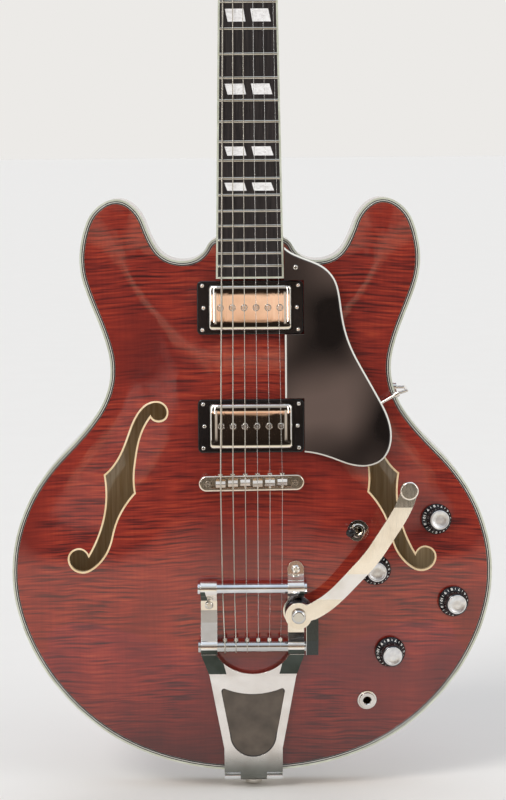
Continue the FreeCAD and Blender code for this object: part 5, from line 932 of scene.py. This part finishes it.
def makeFloor():
    size, lowest = studio["floor"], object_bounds()[0][2] - studio["floorGap"]
    material, tree = startMaterial("palePaintedFloor")
    finishMaterial(material, {"Base Color": cloudedColour(tree, studio["floorColour"], 90),
                              "Roughness": 0.9, "Specular IOR Level": 0.0})
    corners = [(x * size, y * size, lowest) for x, y in ((-1, -1), (1, -1), (1, 1), (-1, 1))]
    addObject("floor", makeMesh("floor", corners, [(0, 1, 2, 3)], material))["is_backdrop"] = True


def makeCards():
    material, tree = startMaterial("glowingReflectionCard")
    place = patternPlace(tree, 1000)
    scale, reach = studio["mottle"]
    cloud = addNode(tree, "TexNoise", inputs={"Vector": place, "Scale": scale})
    across, away, up = addNode(tree, "SeparateXYZ", inputs=[place]).outputs
    level = addNode(tree, "Math", "MULTIPLY_ADD", [
        addNode(tree, "Math", "SUBTRACT", [cloud, 0.5]), reach, up])
    share = addNode(tree, "MapRange", inputs={"Value": level, "From Max": studio["cards"]["card"][1][2]})
    felt = addNode(tree, "ValToRGB", {"stops": studio["felt"]}, [share])
    side = addNode(tree, "Math", "ABSOLUTE", [across])
    cloth = studio["cloth"]
    shown = 1.0
    for run, stops in ((side, cloth["across"]), (level, cloth["up"])):
        for first, last in (stops[:2], stops[:1:-1]):
            edge = addNode(tree, "MapRange", inputs={"Value": run, "From Min": first, "From Max": last})
            shown = addNode(tree, "Math", "MULTIPLY", [edge, shown])
    felt = addNode(tree, "Mix", {"data_type": "RGBA"}, {0: shown, 6: felt, 7: cloth["colour"]}).outputs[2]
    fadeFrom, fadeTo = studio["matFade"]
    fade = addNode(tree, "MapRange", {"interpolation_type": "SMOOTHSTEP"},
                   {"Value": away, "From Min": fadeFrom, "From Max": fadeTo})
    shade = addNode(tree, "Mix", {"data_type": "RGBA"}, {0: fade, 6: felt, 7: studio["matPale"]}).outputs[2]
    finishMaterial(material, {"Base Color": shade, "Roughness": 0.95, "Specular IOR Level": 0.0,
                              "Emission Color": shade, "Emission Strength": studio["glow"]})
    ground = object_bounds()[0][2] + studio["cardsUp"]
    for name, ((left, near, low), (right, far, high)) in studio["cards"].items():
        corners = [(left, near, low + ground), (right, near, low + ground),
                   (right, far, high + ground), (left, far, high + ground)]
        card = addObject(name, makeMesh(name, corners, [(0, 1, 2, 3)], material))
        card.visible_camera = card.visible_diffuse = card.visible_shadow = False
        card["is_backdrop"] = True


def makeWorld():
    world = bpy.data.worlds.new("paleStudio")
    bpy.context.scene.world = world
    world.use_nodes = True
    tree = world.node_tree
    tree.nodes.clear()
    heading = addNode(tree, "TexCoord").outputs["Generated"]
    height = addNode(tree, "SeparateXYZ", inputs=[heading]).outputs[2]
    share = addNode(tree, "MapRange", inputs={"Value": height, "From Min": -1.0})
    shade = addNode(tree, "ValToRGB", {"stops": studio["sky"]}, [share])
    sky = addNode(tree, "Background", inputs=[shade, studio["world"]])
    addNode(tree, "OutputWorld", inputs={"Surface": sky})


def makeLamps():
    for name, heading, strength, spread in studio["suns"]:
        data = bpy.data.lights.new(name, "SUN")
        data.energy, data.angle = strength, math.radians(spread)
        addObject(name, data).rotation_euler = Vector(heading).to_track_quat("Z", "Y").to_euler()
    for name, place, width, height, power in studio["strips"]:
        data = bpy.data.lights.new(name, "AREA")
        data.shape, data.size, data.size_y, data.energy = "RECTANGLE", width, height, power
        lamp = addObject(name, data)
        lamp.location = place
        towards = Vector((0, 0, place[2] * studio["aim"]))
        lamp.rotation_euler = (Vector(place) - towards).to_track_quat("Z", "Y").to_euler()


print("studio")
makeFloor()
makeCards()
makeWorld()
makeLamps()
bpy.context.scene.view_settings.view_transform = "Standard"

print("done")
